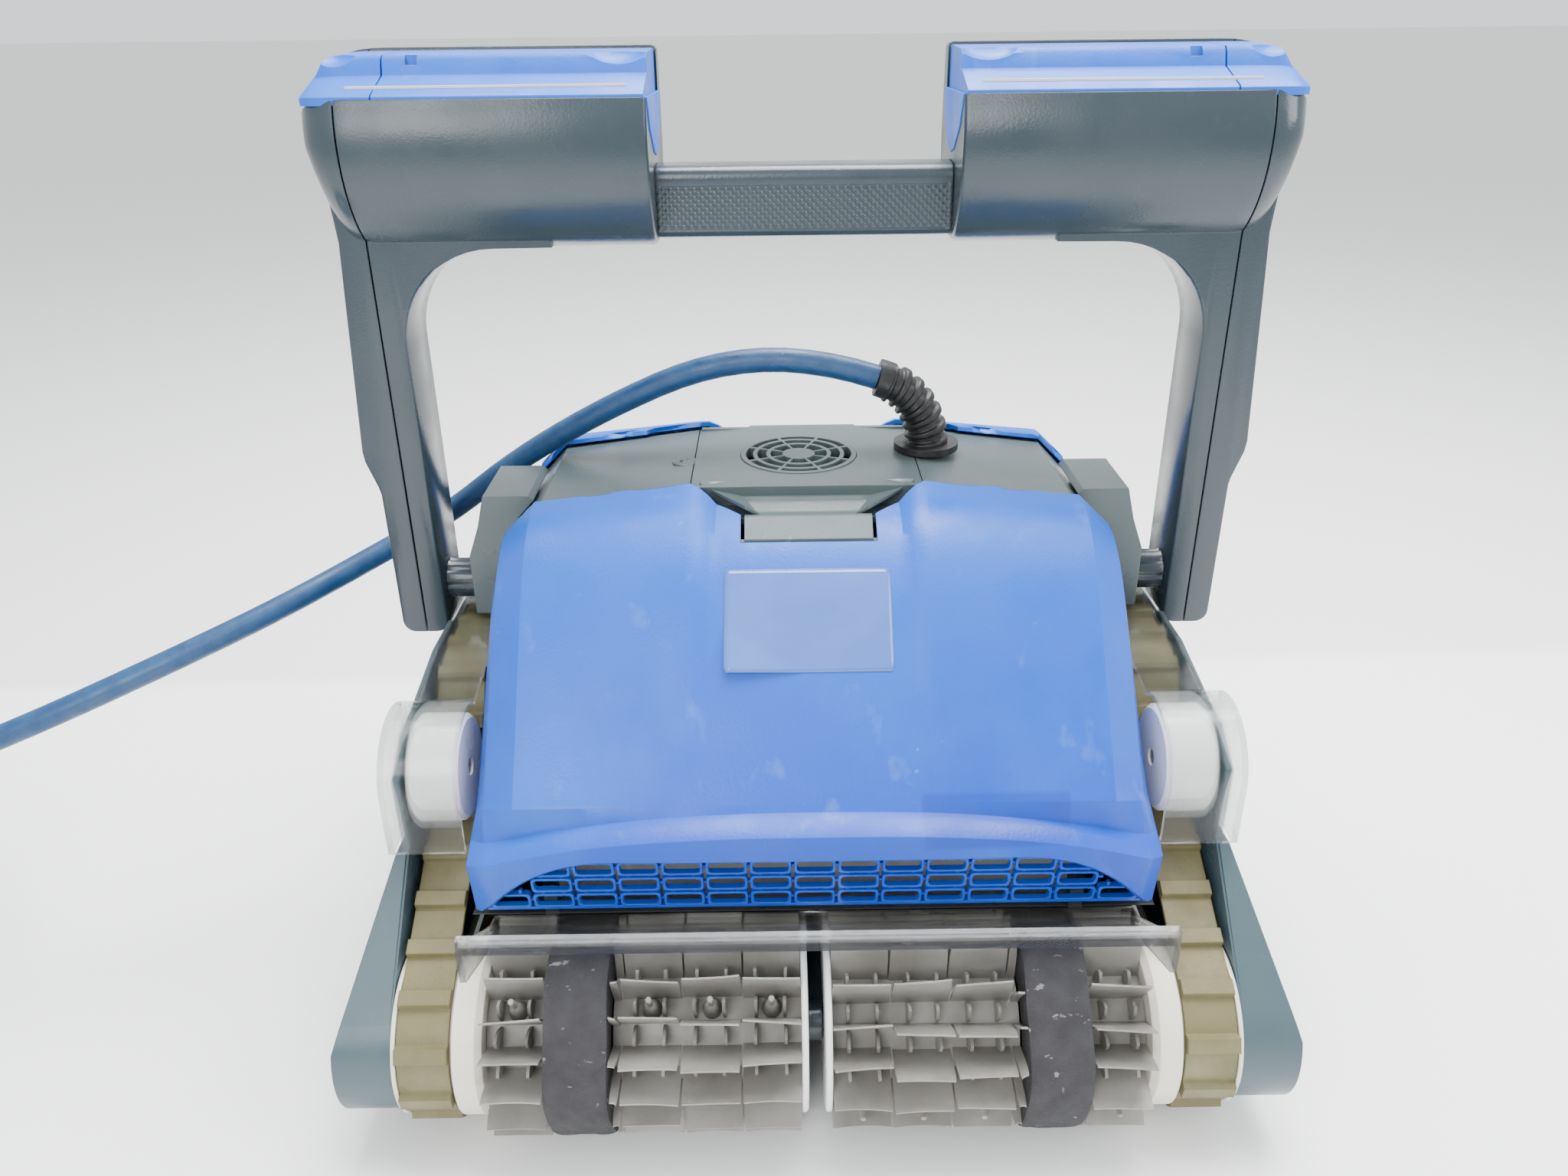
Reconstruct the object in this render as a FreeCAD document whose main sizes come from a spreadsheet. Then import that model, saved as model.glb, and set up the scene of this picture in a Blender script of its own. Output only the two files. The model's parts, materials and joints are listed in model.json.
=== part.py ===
import FreeCAD, Part
import math
import os
import Sketcher

from FreeCAD import Placement, Rotation, Vector

# A tracked pool cleaner. X is the width, Y runs from the front (-Y) to the rear, Z is up.
# The origin is on the floor, under the middle of the machine. Lengths are millimetres.

doc = FreeCAD.newDocument("PoolCleaner")
sheet = doc.addObject("Spreadsheet::Sheet", "Sizes")

DIMENSIONS = [
    ("wheel_y", 162, "distance of both wheel axles from the middle"),
    ("wheel_z", 46, "height of the wheel axles"),
    ("brush_radius", 46, "fin tips and foam rings, which carry the machine"),
    ("core_radius", 26, "brush core tube"),
    ("axle_radius", 5, "brush centre axle"),
    ("running_gap", 0.05, "radial clearance of the turning bores"),
    ("flange_radius", 37, "wheel flanges beside the track"),
    ("track_seat", 33, "wheel radius under the track"),
    ("track_inner_x", 154, "inner edge of the track"),
    ("track_width", 22, "width of the track"),
    ("track_base", 2, "thickness of the belt without ribs"),
    ("rib_height", 3, "outer ribs of the track"),
    ("rib_length", 8, "outer ribs along the track"),
    ("rib_pitch", 22, "distance from rib to rib"),
    ("roller_y", 108, "guide roller axle"),
    ("roller_z", 147, "guide roller axle height"),
    ("roller_radius", 24, "guide roller"),
    ("pulley_y", 46, "upper pulley axle"),
    ("pulley_z", 143, "upper pulley axle height"),
    ("pulley_radius", 28, "upper pulley"),
    ("gear_radius", 17, "drive gear over its teeth"),
    ("gear_z", 154, "drive gear axle height"),
    ("pivot_z", 191, "handle pivot height"),
    ("pivot_radius", 7, "handle pivot pin"),
    ("boss_radius", 10.2, "fluted boss of the handle arm"),
    ("arm_inner", 182, "inner face of the handle arms"),
    ("arm_depth", 36, "handle arms front to back"),
    ("shoulder_depth", 74, "float shoulders front to back"),
    ("shoulder_inner", 65, "inner end of the float shoulders"),
    ("shoulder_top", 428, "rim of the float shoulders"),
    ("handle_top", 440, "top of the float lids"),
    ("grip_depth", 28, "grip bar front to back"),
    ("body_half", 150, "half width of the tub"),
    ("tub_bottom", 16, "underside of the tub"),
    ("tub_top", 96, "rim of the tub"),
    ("wall", 3, "wall of the moulded shells"),
    ("band_half", 44.8, "half length of the grey top band"),
    ("lid_bottom", 104, "lower edge of the filter lids"),
    ("latch_y", -74.2, "pivot of the front lid's latch"),
    ("latch_z", 240.2, "pivot of the lids' latches"),
    ("latch_pin", 1.5, "radius of a latch's pins"),
    ("hinge_y", 144, "lid hinge axis"),
    ("hinge_z", 107, "lid hinge axis height"),
    ("outlet_x", -3, "middle of the outlet grille"),
    ("outlet_radius", 28.5, "outlet grille"),
    ("impeller_radius", 27, "impeller"),
    ("shaft_radius", 3, "pump shaft"),
    ("web_inner", 178.5, "inner face of the side panel"),
    ("web_thickness", 3, "side panel plate"),
    ("panel_outer", 203.5, "outer face of the side panel"),
    ("screw_radius", 4, "panel screw heads"),
    ("gland_x", 61, "cable gland"),
    ("gland_y", 10, "cable gland"),
    ("gland_radius", 16, "cable gland flange"),
    ("relief_radius", 10.5, "strain relief at its root"),
    ("cord_diameter", 12, "floating cable"),
    ("coil_x", -580, "middle of the coiled cable"),
    ("coil_y", -130, "middle of the coiled cable"),
    ("coil_inner", 80, "inner radius of the coil"),
    ("coil_outer", 140, "outer radius of the coil"),
    ("coil_height", 60, "height of the coil"),
    ("plug_radius", 15, "plug body"),
    ("plug_length", 68, "plug body"),
]

size = {}
for row, (alias, value, note) in enumerate(DIMENSIONS, start=1):
    sheet.set("A%d" % row, note)
    sheet.set("B%d" % row, str(value))
    sheet.setAlias("B%d" % row, alias)
    size[alias] = value
doc.recompute()

X_AXIS = Vector(1, 0, 0)
Z_AXIS = Vector(0, 0, 1)
SIDES = (("left", -1), ("right", 1))
ENDS = (("front", -1), ("rear", 1))


# Document helpers -----------------------------------------------------------------------------

def turned(sign):
    """No turn for +1, half a turn about Z for -1."""
    return Rotation(Z_AXIS, 0 if sign > 0 else 180)


def new_body(label, placement=None):
    body = doc.addObject("PartDesign::Body", label + "_body")
    body.Label = label
    body.Placement = placement or Placement()
    return body


def origin_feature(body, role):
    return next(item for item in body.Origin.OriginFeatures if item.Role == role)


def new_sketch(body, role, offset=None):
    """A sketch on an origin plane of its own body, moved along the plane's normal."""
    sketch = body.newObject("Sketcher::SketchObject", body.Name + "_sketch")
    sketch.AttachmentSupport = [(origin_feature(body, role), "")]
    sketch.MapMode = "FlatFace"
    if offset is not None:
        sketch.setExpression("AttachmentOffset.Base.z", offset)
    return sketch


def add_outline(sketch, start, steps):
    """A closed outline. A step is an end point, or a middle and an end point of an arc."""
    here = Vector(*start)
    for step in list(steps) + [start]:
        end = Vector(*step[-2:])
        if (end - here).Length > 1e-6:
            if len(step) == 4:
                sketch.addGeometry(Part.Arc(here, Vector(*step[:2]), end), False)
            else:
                sketch.addGeometry(Part.LineSegment(here, end), False)
        here = end


def add_circle(sketch, u, v, radius):
    """A circle whose radius is bound to an expression of the sheet."""
    index = sketch.addGeometry(Part.Circle(Vector(u, v), Z_AXIS, 10), False)
    link = sketch.addConstraint(Sketcher.Constraint("Radius", index, 10))
    sketch.setExpression("Constraints[%d]" % link, radius)
    pin_point(sketch, index, 3, u, v)


def pin_point(sketch, index, point, u, v):
    sketch.addConstraint(Sketcher.Constraint("DistanceX", -1, 1, index, point, u))
    sketch.addConstraint(Sketcher.Constraint("DistanceY", -1, 1, index, point, v))


def add_rectangle(sketch, low, high):
    add_outline(sketch, low, [(high[0], low[1]), high, (low[0], high[1])])


def pad(body, sketch, length, midplane=False, backwards=False):
    feature = body.newObject("PartDesign::Pad", body.Name + "_pad")
    feature.Profile = sketch
    feature.setExpression("Length", length)
    feature.Midplane = midplane
    feature.Reversed = backwards
    return feature


def pocket(body, sketch, length, midplane=False, backwards=False):
    feature = body.newObject("PartDesign::Pocket", body.Name + "_pocket")
    feature.Profile = sketch
    feature.setExpression("Length", length)
    feature.Midplane = midplane
    feature.Reversed = backwards
    return feature


def revolution(body, sketch, axis):
    feature = body.newObject("PartDesign::Revolution", body.Name + "_revolution")
    feature.Profile = sketch
    feature.ReferenceAxis = (sketch, [axis])
    feature.Angle = 360
    return feature


def polar(body, features, role, count):
    feature = body.newObject("PartDesign::PolarPattern", body.Name + "_polar")
    feature.Originals = features
    feature.Axis = (origin_feature(body, role), [""])
    feature.Angle = 360
    feature.Occurrences = count
    body.Tip = feature
    return feature


def cylinder(name, radius, height, base, axis):
    item = doc.addObject("Part::Cylinder", name)
    item.setExpression("Radius", radius)
    item.setExpression("Height", height)
    item.Placement = Placement(base, Rotation(Z_AXIS, axis))
    return item


def box(name, length, width, height, base):
    item = doc.addObject("Part::Box", name)
    item.setExpression("Length", length)
    item.setExpression("Width", width)
    item.setExpression("Height", height)
    item.Placement = Placement(base, Rotation())
    return item


def cut(label, base, tool):
    item = doc.addObject("Part::Cut", label + "_cut")
    item.Base = base
    item.Tool = tool
    item.Label = label
    return item


def fuse(label, shapes):
    item = doc.addObject("Part::MultiFuse", label + "_fuse")
    item.Shapes = shapes
    item.Label = label
    return item


def compound(label, shapes):
    item = doc.addObject("Part::Compound", label + "_group")
    item.Links = shapes
    item.Label = label
    return item


def feature(label, shape, placement=None):
    item = doc.addObject("Part::Feature", label + "_shape")
    item.Shape = shape
    item.Label = label
    item.Placement = placement or Placement()
    return item


nodes = []


def keep(item):
    nodes.append(item)
    return item


def mirrored(points):
    """An outline's half, closed by its mirror image about the vertical axis."""
    return points + [(-u, v) for u, v in reversed(points)]


def inset(points, distance):
    """The points of a closed outline, moved inwards by a distance."""
    ring = Part.makePolygon([Vector(u, v, 0) for u, v in points + points[:1]])
    smaller = Part.Face(ring).makeOffset2D(-distance, 2)
    return [(vertex.X, vertex.Y) for vertex in smaller.OuterWire.OrderedVertexes]


def prism(points, axis, low, high):
    """A solid between two stations of an axis. Its outline is in YZ for X and in XZ for Y."""
    if axis == "x":
        corners = [Vector(low, u, v) for u, v in points]
        run = Vector(high - low, 0, 0)
    else:
        corners = [Vector(u, low, v) for u, v in points]
        run = Vector(0, high - low, 0)
    return Part.Face(Part.makePolygon(corners + corners[:1])).extrude(run)


# The body: tub, bottom plate, centre frame ----------------------------------------------------

TUB_HALF = [(106, 16), (111, 30), (113, 46), (115, 62), (120, 74), (129, 85), (140, 93), (148, 96)]


def make_tub():
    body = new_body("chassis_tub")
    outside = new_sketch(body, "YZ_Plane")
    outline = mirrored(TUB_HALF)
    add_outline(outside, outline[0], outline[1:])
    pad(body, outside, "Sizes.body_half * 2", midplane=True)
    inside = new_sketch(body, "YZ_Plane")
    smaller = inset(mirrored(TUB_HALF[:-1] + [(148, 96), (148, 110)]), size["wall"])
    add_outline(inside, smaller[0], smaller[1:])
    pocket(body, inside, "(Sizes.body_half - Sizes.wall) * 2", midplane=True)
    slots = new_sketch(body, "XY_Plane")
    for side in (-1, 1):
        add_rectangle(slots, (-92, side * 62 - 9), (92, side * 62 + 9))
    pocket(body, slots, "Sizes.tub_bottom + 8", backwards=True)
    return body


def make_hinge_lugs(sign):
    """Two ears on the rim of the tub, bored for the pins of a lid."""
    shapes = []
    bore = 2 + size["running_gap"]
    for side in (-1, 1):
        ear = Part.makeBox(6, 6.5, 17.5, Vector(side * 115 - 3, sign * size["hinge_y"] - 3.25, 93.5))
        start = Vector(side * 115 - 4, sign * size["hinge_y"], size["hinge_z"])
        hole = Part.makeCylinder(bore, 8, start, X_AXIS)
        shapes.append(ear.cut(hole))
    return shapes


def make_bottom_plate():
    body = new_body("bottom_plate")
    plate = new_sketch(body, "XY_Plane", "Sizes.tub_bottom - 4.2")
    add_rectangle(plate, (-138, -98), (138, 98))
    pad(body, plate, "4")
    slots = new_sketch(body, "XY_Plane")
    for side in (-1, 1):
        add_rectangle(slots, (-90, side * 62 - 7), (90, side * 62 + 7))
    pocket(body, slots, "Sizes.tub_bottom + 8", backwards=True)
    return body


# Half of the cross-section that the lids and the top band share, from the crown down.
SHELL_HALF = [(55, 254), (125, 245.5), (138, 232), (145, 205), (148.5, 170), (150.5, 104)]


def make_centre_frame():
    body = new_body("centre_frame")
    outside = new_sketch(body, "XZ_Plane")
    outline = mirrored([(144.6, 203.5), (148.2, 170), (149.8, 97)])
    add_outline(outside, outline[0], outline[1:])
    pad(body, outside, "(Sizes.band_half - 0.4) * 2", midplane=True)
    hollow = new_sketch(body, "XY_Plane", "90")
    add_rectangle(hollow, (-141.5, -41.4), (141.5, 41.4))
    pocket(body, hollow, "200", backwards=True)
    shafts = new_sketch(body, "YZ_Plane")
    add_circle(shafts, 0, size["gear_z"], "Sizes.axle_radius + 0.4")
    pocket(body, shafts, "400", midplane=True)
    return body


# Top band -------------------------------------------------------------------------------------

def make_top_centre():
    """The middle of the band with the sunken tongue, the outlet hole and the gland hole."""
    outline = [(-54, 250.4), (54, 250.4), (54, 254.1), (28, 255.6), (-28, 255.6), (-54, 254.1)]
    plate = prism(outline, "y", -size["band_half"], size["band_half"])
    tongue_top = [(-53, -44.8), (-29, -61.5), (29, -61.5), (53, -44.8)]
    corners = [Vector(u, v, 243.5) for u, v in tongue_top]
    tongue = Part.Face(Part.makePolygon(corners + corners[:1])).extrude(Vector(0, 0, 3))
    step = Part.makeBox(106, 3, 12, Vector(-53, -44.8, 243.5))
    outlet = Part.makeCylinder(size["outlet_radius"] + 0.2, 20, Vector(size["outlet_x"], 0, 245))
    gland = Part.makeCylinder(9.2, 20, Vector(size["gland_x"], size["gland_y"], 245))
    rear_step = step.mirror(Vector(0, 0, 0), Vector(0, 1, 0))
    rear_tongue = tongue.mirror(Vector(0, 0, 0), Vector(0, 1, 0))
    shape = plate.fuse([tongue, step, rear_step, rear_tongue]).cut([outlet, gland])
    return feature("top_cover_centre", shape.removeSplitter())


def make_top_wings():
    """The left and right wings of the band, bent down over the shoulders of the body."""
    outer = [(54.5, 254.1), (125, 245.5), (138, 232), (144.6, 204)]
    inner = [(141.4, 204), (135.2, 230.4), (123.4, 242.6), (54.5, 250.6)]
    gland = Part.makeCylinder(9.2, 20, Vector(size["gland_x"], size["gland_y"], 245))
    wings = []
    for label, sign in SIDES:
        points = [(sign * u, v) for u, v in outer + inner]
        wing = prism(points, "y", -size["band_half"], size["band_half"])
        wings.append(feature("wing_" + label, wing.cut(gland)))
    return compound("top_cover_wings", wings)


def make_pivot_blocks():
    """Blocks at the ends of the band, each with the pin that the handle turns on."""
    outline = [(149.3, 181), (146.2, 205.2), (139.4, 232.8), (131.6, 241), (134, 243.5), (156, 243.5),
               (160, 228), (166, 212), (166, 181)]
    blocks = []
    for label, sign in SIDES:
        points = [(sign * u, v) for u, v in outline]
        block = prism(points, "y", -22, 22)
        pin = Part.makeCylinder(size["pivot_radius"], 30, Vector(sign * 160, 0, size["pivot_z"]),
                                Vector(sign, 0, 0))
        blocks.append(feature("block_" + label, block.fuse(pin)))
    return compound("pivot_blocks", blocks)


def make_outlet_grille():
    """A disc with three rings of slots between spokes."""
    body = new_body("outlet_grille", Placement(Vector(size["outlet_x"], 0, 251), Rotation()))
    disc = new_sketch(body, "XY_Plane")
    add_circle(disc, 0, 0, "Sizes.outlet_radius")
    pad(body, disc, "5")
    for inner, outer, count, spoke in ((8, 14, 8, 1.2), (16, 20.5, 8, 1.2), (22.5, 26, 8, 1.6)):
        slot = new_sketch(body, "XY_Plane")
        half = math.pi / count - spoke / (inner + outer)
        start = (inner * math.cos(half), -inner * math.sin(half))
        corner = (outer * math.cos(half), -outer * math.sin(half))
        steps = [corner, (outer, 0, corner[0], -corner[1]), (start[0], -start[1]), (inner, 0) + start]
        add_outline(slot, start, steps)
        hole = pocket(body, slot, "6", backwards=True)
        polar(body, [hole], "Z_Axis", count)
    return body


def make_outlet_duct():
    """The tube from the impeller to the outlet grille."""
    base = Vector(size["outlet_x"], 0, 176)
    wall = cylinder("duct_outside", "Sizes.impeller_radius + 5", "74", base, Z_AXIS)
    bore = cylinder("duct_bore", "Sizes.impeller_radius + 2", "80", base + Vector(0, 0, -1), Z_AXIS)
    return cut("outlet_duct", wall, bore)


# Filter lids ----------------------------------------------------------------------------------

LID_FACE = [(45.6, 256), (66, 250), (88, 233), (112, 203), (135, 172), (153, 152), (164, 148), (165.5, 137),
            (157, 136.5), (151.5, 104), (45.6, 104)]


def lid_solid(distance):
    """The volume of a lid, moved inwards by a distance on every outer face."""
    side = mirrored(SHELL_HALF)
    if distance:
        side = inset(side, distance)
    side = [(u, v if v > 110 else v - distance - 5) for u, v in side]
    face = inset(LID_FACE, distance) if distance else LID_FACE
    if distance:
        face = [(u if u > 50 else 30, v if v > 110 else 90) for u, v in face]
    profile = [(-u, v) for u, v in face]
    return prism(profile, "x", -160, 160).common(prism(side, "y", -200, 0))


def make_lid(label, sign):
    """A filter lid: a shell with the lip, a grille of slots, the latch notch and hinge ears."""
    shell = lid_solid(0).cut(lid_solid(size["wall"]))
    corners = [Vector(*point) for point in ((-55, -44, 235), (-30.5, -62.5, 235), (-30.5, -77, 235),
                                            (30.5, -77, 235), (30.5, -62.5, 235), (55, -44, 235))]
    notch = Part.Face(Part.makePolygon(corners + corners[:1])).extrude(Vector(0, 0, 30))
    slots = []
    for row in range(3):
        width = 17.2
        for column in range(-7, 8):
            middle = column * 19.6
            slots.append(Part.makeBox(width, 20, 6.4, Vector(middle - width / 2, -162, 108.8 + row * 9)))
    shell = shell.cut([notch] + slots)
    ears = []
    for side in (-1, 1):
        for inner in (107.5, 118.6):
            ear = Part.makeBox(4, 10, 6, Vector(side * (inner + 2) - 2, -150.8, size["hinge_z"] - 3))
            ears.append(ear)
        pin = Part.makeCylinder(2, 15.1, Vector(side * 115 - 7.5, -size["hinge_y"], size["hinge_z"]), X_AXIS)
        ears.append(pin)
        ears.append(Part.makeBox(3.4, 5.6, 3.6, Vector(side * 32.5 - 1.7, -77, 237.4)))
    shape = shell.fuse(ears)
    start = Vector(-34.2, size["latch_y"], size["latch_z"])
    shape = shape.cut(Part.makeCylinder(size["latch_pin"] + size["running_gap"], 68.4, start, X_AXIS))
    return feature(label, shape, Placement(Vector(), turned(-sign)))


def make_latch(label, sign):
    """The tab in the notch of a lid, hinged on two pins along its front edge."""
    body = new_body(label, Placement(Vector(), turned(-sign)))
    tab = new_sketch(body, "YZ_Plane")
    add_outline(tab, (-75.6, 238.6), [(-63.2, 238.6), (-63.2, 249), (-66.5, 249.4), (-75.6, 242.3)])
    pad(body, tab, "57", midplane=True)
    finger = new_sketch(body, "YZ_Plane")
    add_rectangle(finger, (-67, 235), (-60, 241.5))
    pocket(body, finger, "50", midplane=True)
    pins = new_sketch(body, "YZ_Plane")
    add_circle(pins, size["latch_y"], size["latch_z"], "Sizes.latch_pin")
    pad(body, pins, "66", midplane=True)
    return body


# Running gear ---------------------------------------------------------------------------------

def axle_place(sign, y, z):
    return Placement(Vector(0, y, z), turned(sign))


def make_wheel(label, sign, y):
    """A track wheel: inner flange, track seat, outer rim and the stub axle."""
    body = new_body(label, axle_place(sign, y, size["wheel_z"]))
    half = new_sketch(body, "XZ_Plane")
    seat = size["track_seat"]
    rim = size["flange_radius"] - 1
    add_outline(half, (140.5, 0), [(140.5, 34), (143, 37), (152.4, 37), (153, seat), (176.3, seat),
                                   (176.3, rim), (178, rim), (178, 6), (186, 6), (186, 0)])
    revolution(body, half, "H_Axis")
    return body


def make_brush(label, sign, y):
    """Half a brush: inner disc, core tube with a bore for the axle, and rows of fins."""
    body = new_body(label, axle_place(sign, y, size["wheel_z"]))
    half = new_sketch(body, "XZ_Plane")
    bore = size["axle_radius"] + size["running_gap"]
    core = size["core_radius"]
    add_outline(half, (3.6, bore), [(3.6, 38), (6, 38), (6, core), (140.2, core), (140.2, 0), (18, 0),
                                    (18, bore)])
    revolution(body, half, "H_Axis")
    tip = size["brush_radius"]
    for low, high in ((6, 83.5), (114.5, 139.5)):
        blade = new_sketch(body, "YZ_Plane", str(low))
        add_outline(blade, (-1.6, core - 1), [(1.6, core - 1), (1.2, tip - 0.4), (-0.9, tip - 0.4)])
        fin = pad(body, blade, str(high - low))
        polar(body, [fin], "X_Axis", 16)
    return body


def make_foam_ring(label, sign, y):
    body = new_body(label, axle_place(sign, y, size["wheel_z"]))
    half = new_sketch(body, "XZ_Plane")
    add_rectangle(half, (86, size["core_radius"]), (112.5, size["brush_radius"]))
    revolution(body, half, "H_Axis")
    return body


def make_roller(label, sign, y):
    """A white guide roller with a bore for the pin of the side panel."""
    body = new_body(label, axle_place(sign, y, size["roller_z"]))
    half = new_sketch(body, "XZ_Plane")
    bore = 4 + size["running_gap"]
    outer = size["roller_radius"]
    add_outline(half, (153.5, bore), [(153.5, outer - 2), (155.5, outer), (174, outer), (176, outer - 2),
                                      (176, bore)])
    revolution(body, half, "H_Axis")
    return body


def make_pulley(label, sign, y):
    body = new_body(label, axle_place(sign, y, size["pulley_z"]))
    half = new_sketch(body, "XZ_Plane")
    bore = size["axle_radius"] + size["running_gap"]
    outer = size["pulley_radius"]
    add_outline(half, (155, bore), [(155, outer), (176, outer), (176, outer - 4), (168, outer - 5), (168, 10),
                                    (176, 10), (176, bore)])
    revolution(body, half, "H_Axis")
    return body


def make_drive_gear(label, sign):
    """The toothed drive wheel inside the track, with the shaft that comes from its motor."""
    body = new_body(label, axle_place(sign, 0, size["gear_z"]))
    half = new_sketch(body, "XZ_Plane")
    root = size["gear_radius"] - 2
    shaft = size["axle_radius"]
    add_outline(half, (66.3, 0), [(66.3, shaft), (156, shaft), (156, root), (174, root), (174, 0)])
    revolution(body, half, "H_Axis")
    blade = new_sketch(body, "YZ_Plane", "156")
    add_outline(blade, (-1.8, root - 0.5), [(1.8, root - 0.5), (1.2, root + 2), (-1.2, root + 2)])
    tooth = pad(body, blade, "18")
    polar(body, [tooth], "X_Axis", 20)
    return body


# Track ----------------------------------------------------------------------------------------

def crossing_tangent(first, second, side):
    """The line that a belt takes from one side of a circle (y, z, radius) to the other side of the next."""
    (ay, az, ar), (by, bz, br) = first, second
    gap = math.hypot(by - ay, bz - az)
    lean = math.atan2(bz - az, by - ay)
    angle = lean + side * math.acos((ar + br) / gap)
    out = Vector(0, math.cos(angle), math.sin(angle))
    return Vector(0, ay, az) + out * ar, Vector(0, by, bz) - out * br


def belt_wire():
    """The middle line of the track: wheels and pulleys inside it, guide rollers outside."""
    half = size["track_base"] / 2 + 0.3
    wheel = (-size["wheel_y"], size["wheel_z"], size["track_seat"] + half)
    roller = (-size["roller_y"], size["roller_z"], size["roller_radius"] + size["rib_height"] + half + 0.1)
    pulley = (-size["pulley_y"], size["pulley_z"], size["pulley_radius"] + half)
    leave_wheel, meet_roller = crossing_tangent(wheel, roller, 1)
    meet_pulley, leave_roller = crossing_tangent(pulley, roller, -1)
    stations = [
        Vector(0, 0, wheel[1] - wheel[2]),
        Vector(0, wheel[0], wheel[1] - wheel[2]),
        leave_wheel,
        meet_roller,
        leave_roller,
        meet_pulley,
        Vector(0, pulley[0], pulley[1] + pulley[2]),
        Vector(0, 0, pulley[1] + pulley[2]),
    ]
    around_roller = (meet_roller + leave_roller) * 0.5 - Vector(0, roller[0], roller[1])
    around_roller = Vector(0, roller[0], roller[1]) + around_roller.normalize() * roller[2]
    around_pulley = (stations[5] + stations[6]) * 0.5 - Vector(0, pulley[0], pulley[1])
    around_pulley = Vector(0, pulley[0], pulley[1]) + around_pulley.normalize() * pulley[2]
    front = [
        Part.LineSegment(stations[0], stations[1]),
        Part.Arc(stations[1], Vector(0, wheel[0] - wheel[2], wheel[1]), stations[2]),
        Part.LineSegment(stations[2], stations[3]),
        Part.Arc(stations[3], around_roller, stations[4]),
        Part.LineSegment(stations[4], stations[5]),
        Part.Arc(stations[5], around_pulley, stations[6]),
        Part.LineSegment(stations[6], stations[7]),
    ]
    edges = [curve.toShape() for curve in front]
    rear = [edge.mirror(Vector(0, 0, 0), Vector(0, 1, 0)) for edge in edges]
    return Part.Wire(Part.__sortEdges__(edges + rear))


def make_track(label, sign):
    """The belt with its outer ribs."""
    path = belt_wire()
    half = size["track_base"] / 2
    loops = [path.makeOffset2D(half), path.makeOffset2D(-half)]
    loops.sort(key=lambda loop: loop.Length, reverse=True)
    width = Vector(size["track_width"], 0, 0)
    low = size["track_inner_x"]
    belt = Part.Face(loops).extrude(width)
    inside = Part.Face(path)
    count = round(path.Length / size["rib_pitch"])
    points = path.discretize(Number=count * 4 + 1)
    ribs = []
    for index in range(0, count * 4, 4):
        here = points[index]
        along = (points[index + 1] - points[index - 1 if index else -2]).normalize()
        out = X_AXIS.cross(along)
        if inside.isInside(here + out * 2, 0.01, True):
            out = out * -1
        foot = here + out * (half - 0.4)
        tip = here + out * (half + size["rib_height"])
        reach = along * (size["rib_length"] / 2)
        ring = [foot - reach, foot + reach, tip + reach * 0.8, tip - reach * 0.8]
        ribs.append(Part.Face(Part.makePolygon(ring + ring[:1])).extrude(width))
    shape = belt.fuse(ribs).removeSplitter()
    start = low if sign > 0 else -low - size["track_width"]
    return feature(label, shape, Placement(Vector(start, 0, 0), Rotation()))


# Side panels and windows ----------------------------------------------------------------------

def make_side_panel(label, sign):
    """The outer panel: a plate that carries the pins of rollers and pulleys, and a hollow bulge."""
    body = new_body(label, Placement(Vector(), turned(sign)))
    web = new_sketch(body, "YZ_Plane", "Sizes.web_inner")
    wheel_y = size["wheel_y"]
    wheel_z = size["wheel_z"]
    reach = 34
    add_outline(web, (-wheel_y, wheel_z - reach), [
        (wheel_y, wheel_z - reach), (wheel_y + reach, wheel_z, wheel_y + 24, wheel_z + 24),
        (131, 121), (131, 155), (112, 166), (96, 168), (52, 176), (20, 176), (20, 172), (-20, 172),
        (-20, 176), (-52, 176), (-96, 168), (-112, 166), (-131, 155), (-131, 121),
        (-wheel_y - 24, wheel_z + 24),
        (-wheel_y - reach, wheel_z, -wheel_y, wheel_z - reach)])
    pad(body, web, "Sizes.web_thickness")
    bulge = new_sketch(body, "YZ_Plane", "Sizes.web_inner + 1")
    add_outline(bulge, (-wheel_y, wheel_z - reach), [
        (wheel_y, wheel_z - reach), (wheel_y + reach, wheel_z, wheel_y + 24, wheel_z + 24),
        (135, 119), (-135, 119), (-wheel_y - 24, wheel_z + 24),
        (-wheel_y - reach, wheel_z, -wheel_y, wheel_z - reach)])
    pad(body, bulge, "Sizes.panel_outer - Sizes.web_inner - 1")
    slope = new_sketch(body, "XZ_Plane")
    outer = size["panel_outer"]
    add_outline(slope, (outer + 5, 0), [(outer + 5, 130), (182, 130), (182, 119), (184, 119), (outer, 60),
                                        (outer, 24), (outer - 6, 10), (outer - 6, 0)])
    pocket(body, slope, "500", midplane=True)
    hollow = new_sketch(body, "YZ_Plane", "Sizes.web_inner - 1")
    add_rectangle(hollow, (-132, 20), (132, 62))
    pocket(body, hollow, "Sizes.panel_outer - Sizes.web_inner - 2", backwards=True)
    bores = new_sketch(body, "YZ_Plane", "Sizes.web_inner - 1")
    for y in (-wheel_y, wheel_y):
        add_circle(bores, y, wheel_z, "6 + Sizes.running_gap")
    pocket(body, bores, "10", backwards=True)
    for y, z, radius in ((size["roller_y"], size["roller_z"], "4"),
                         (size["pulley_y"], size["pulley_z"], "Sizes.axle_radius")):
        pins = new_sketch(body, "YZ_Plane", "Sizes.web_inner - 24")
        add_circle(pins, -y, z, radius)
        add_circle(pins, y, z, radius)
        pad(body, pins, "25")
    return body


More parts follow.
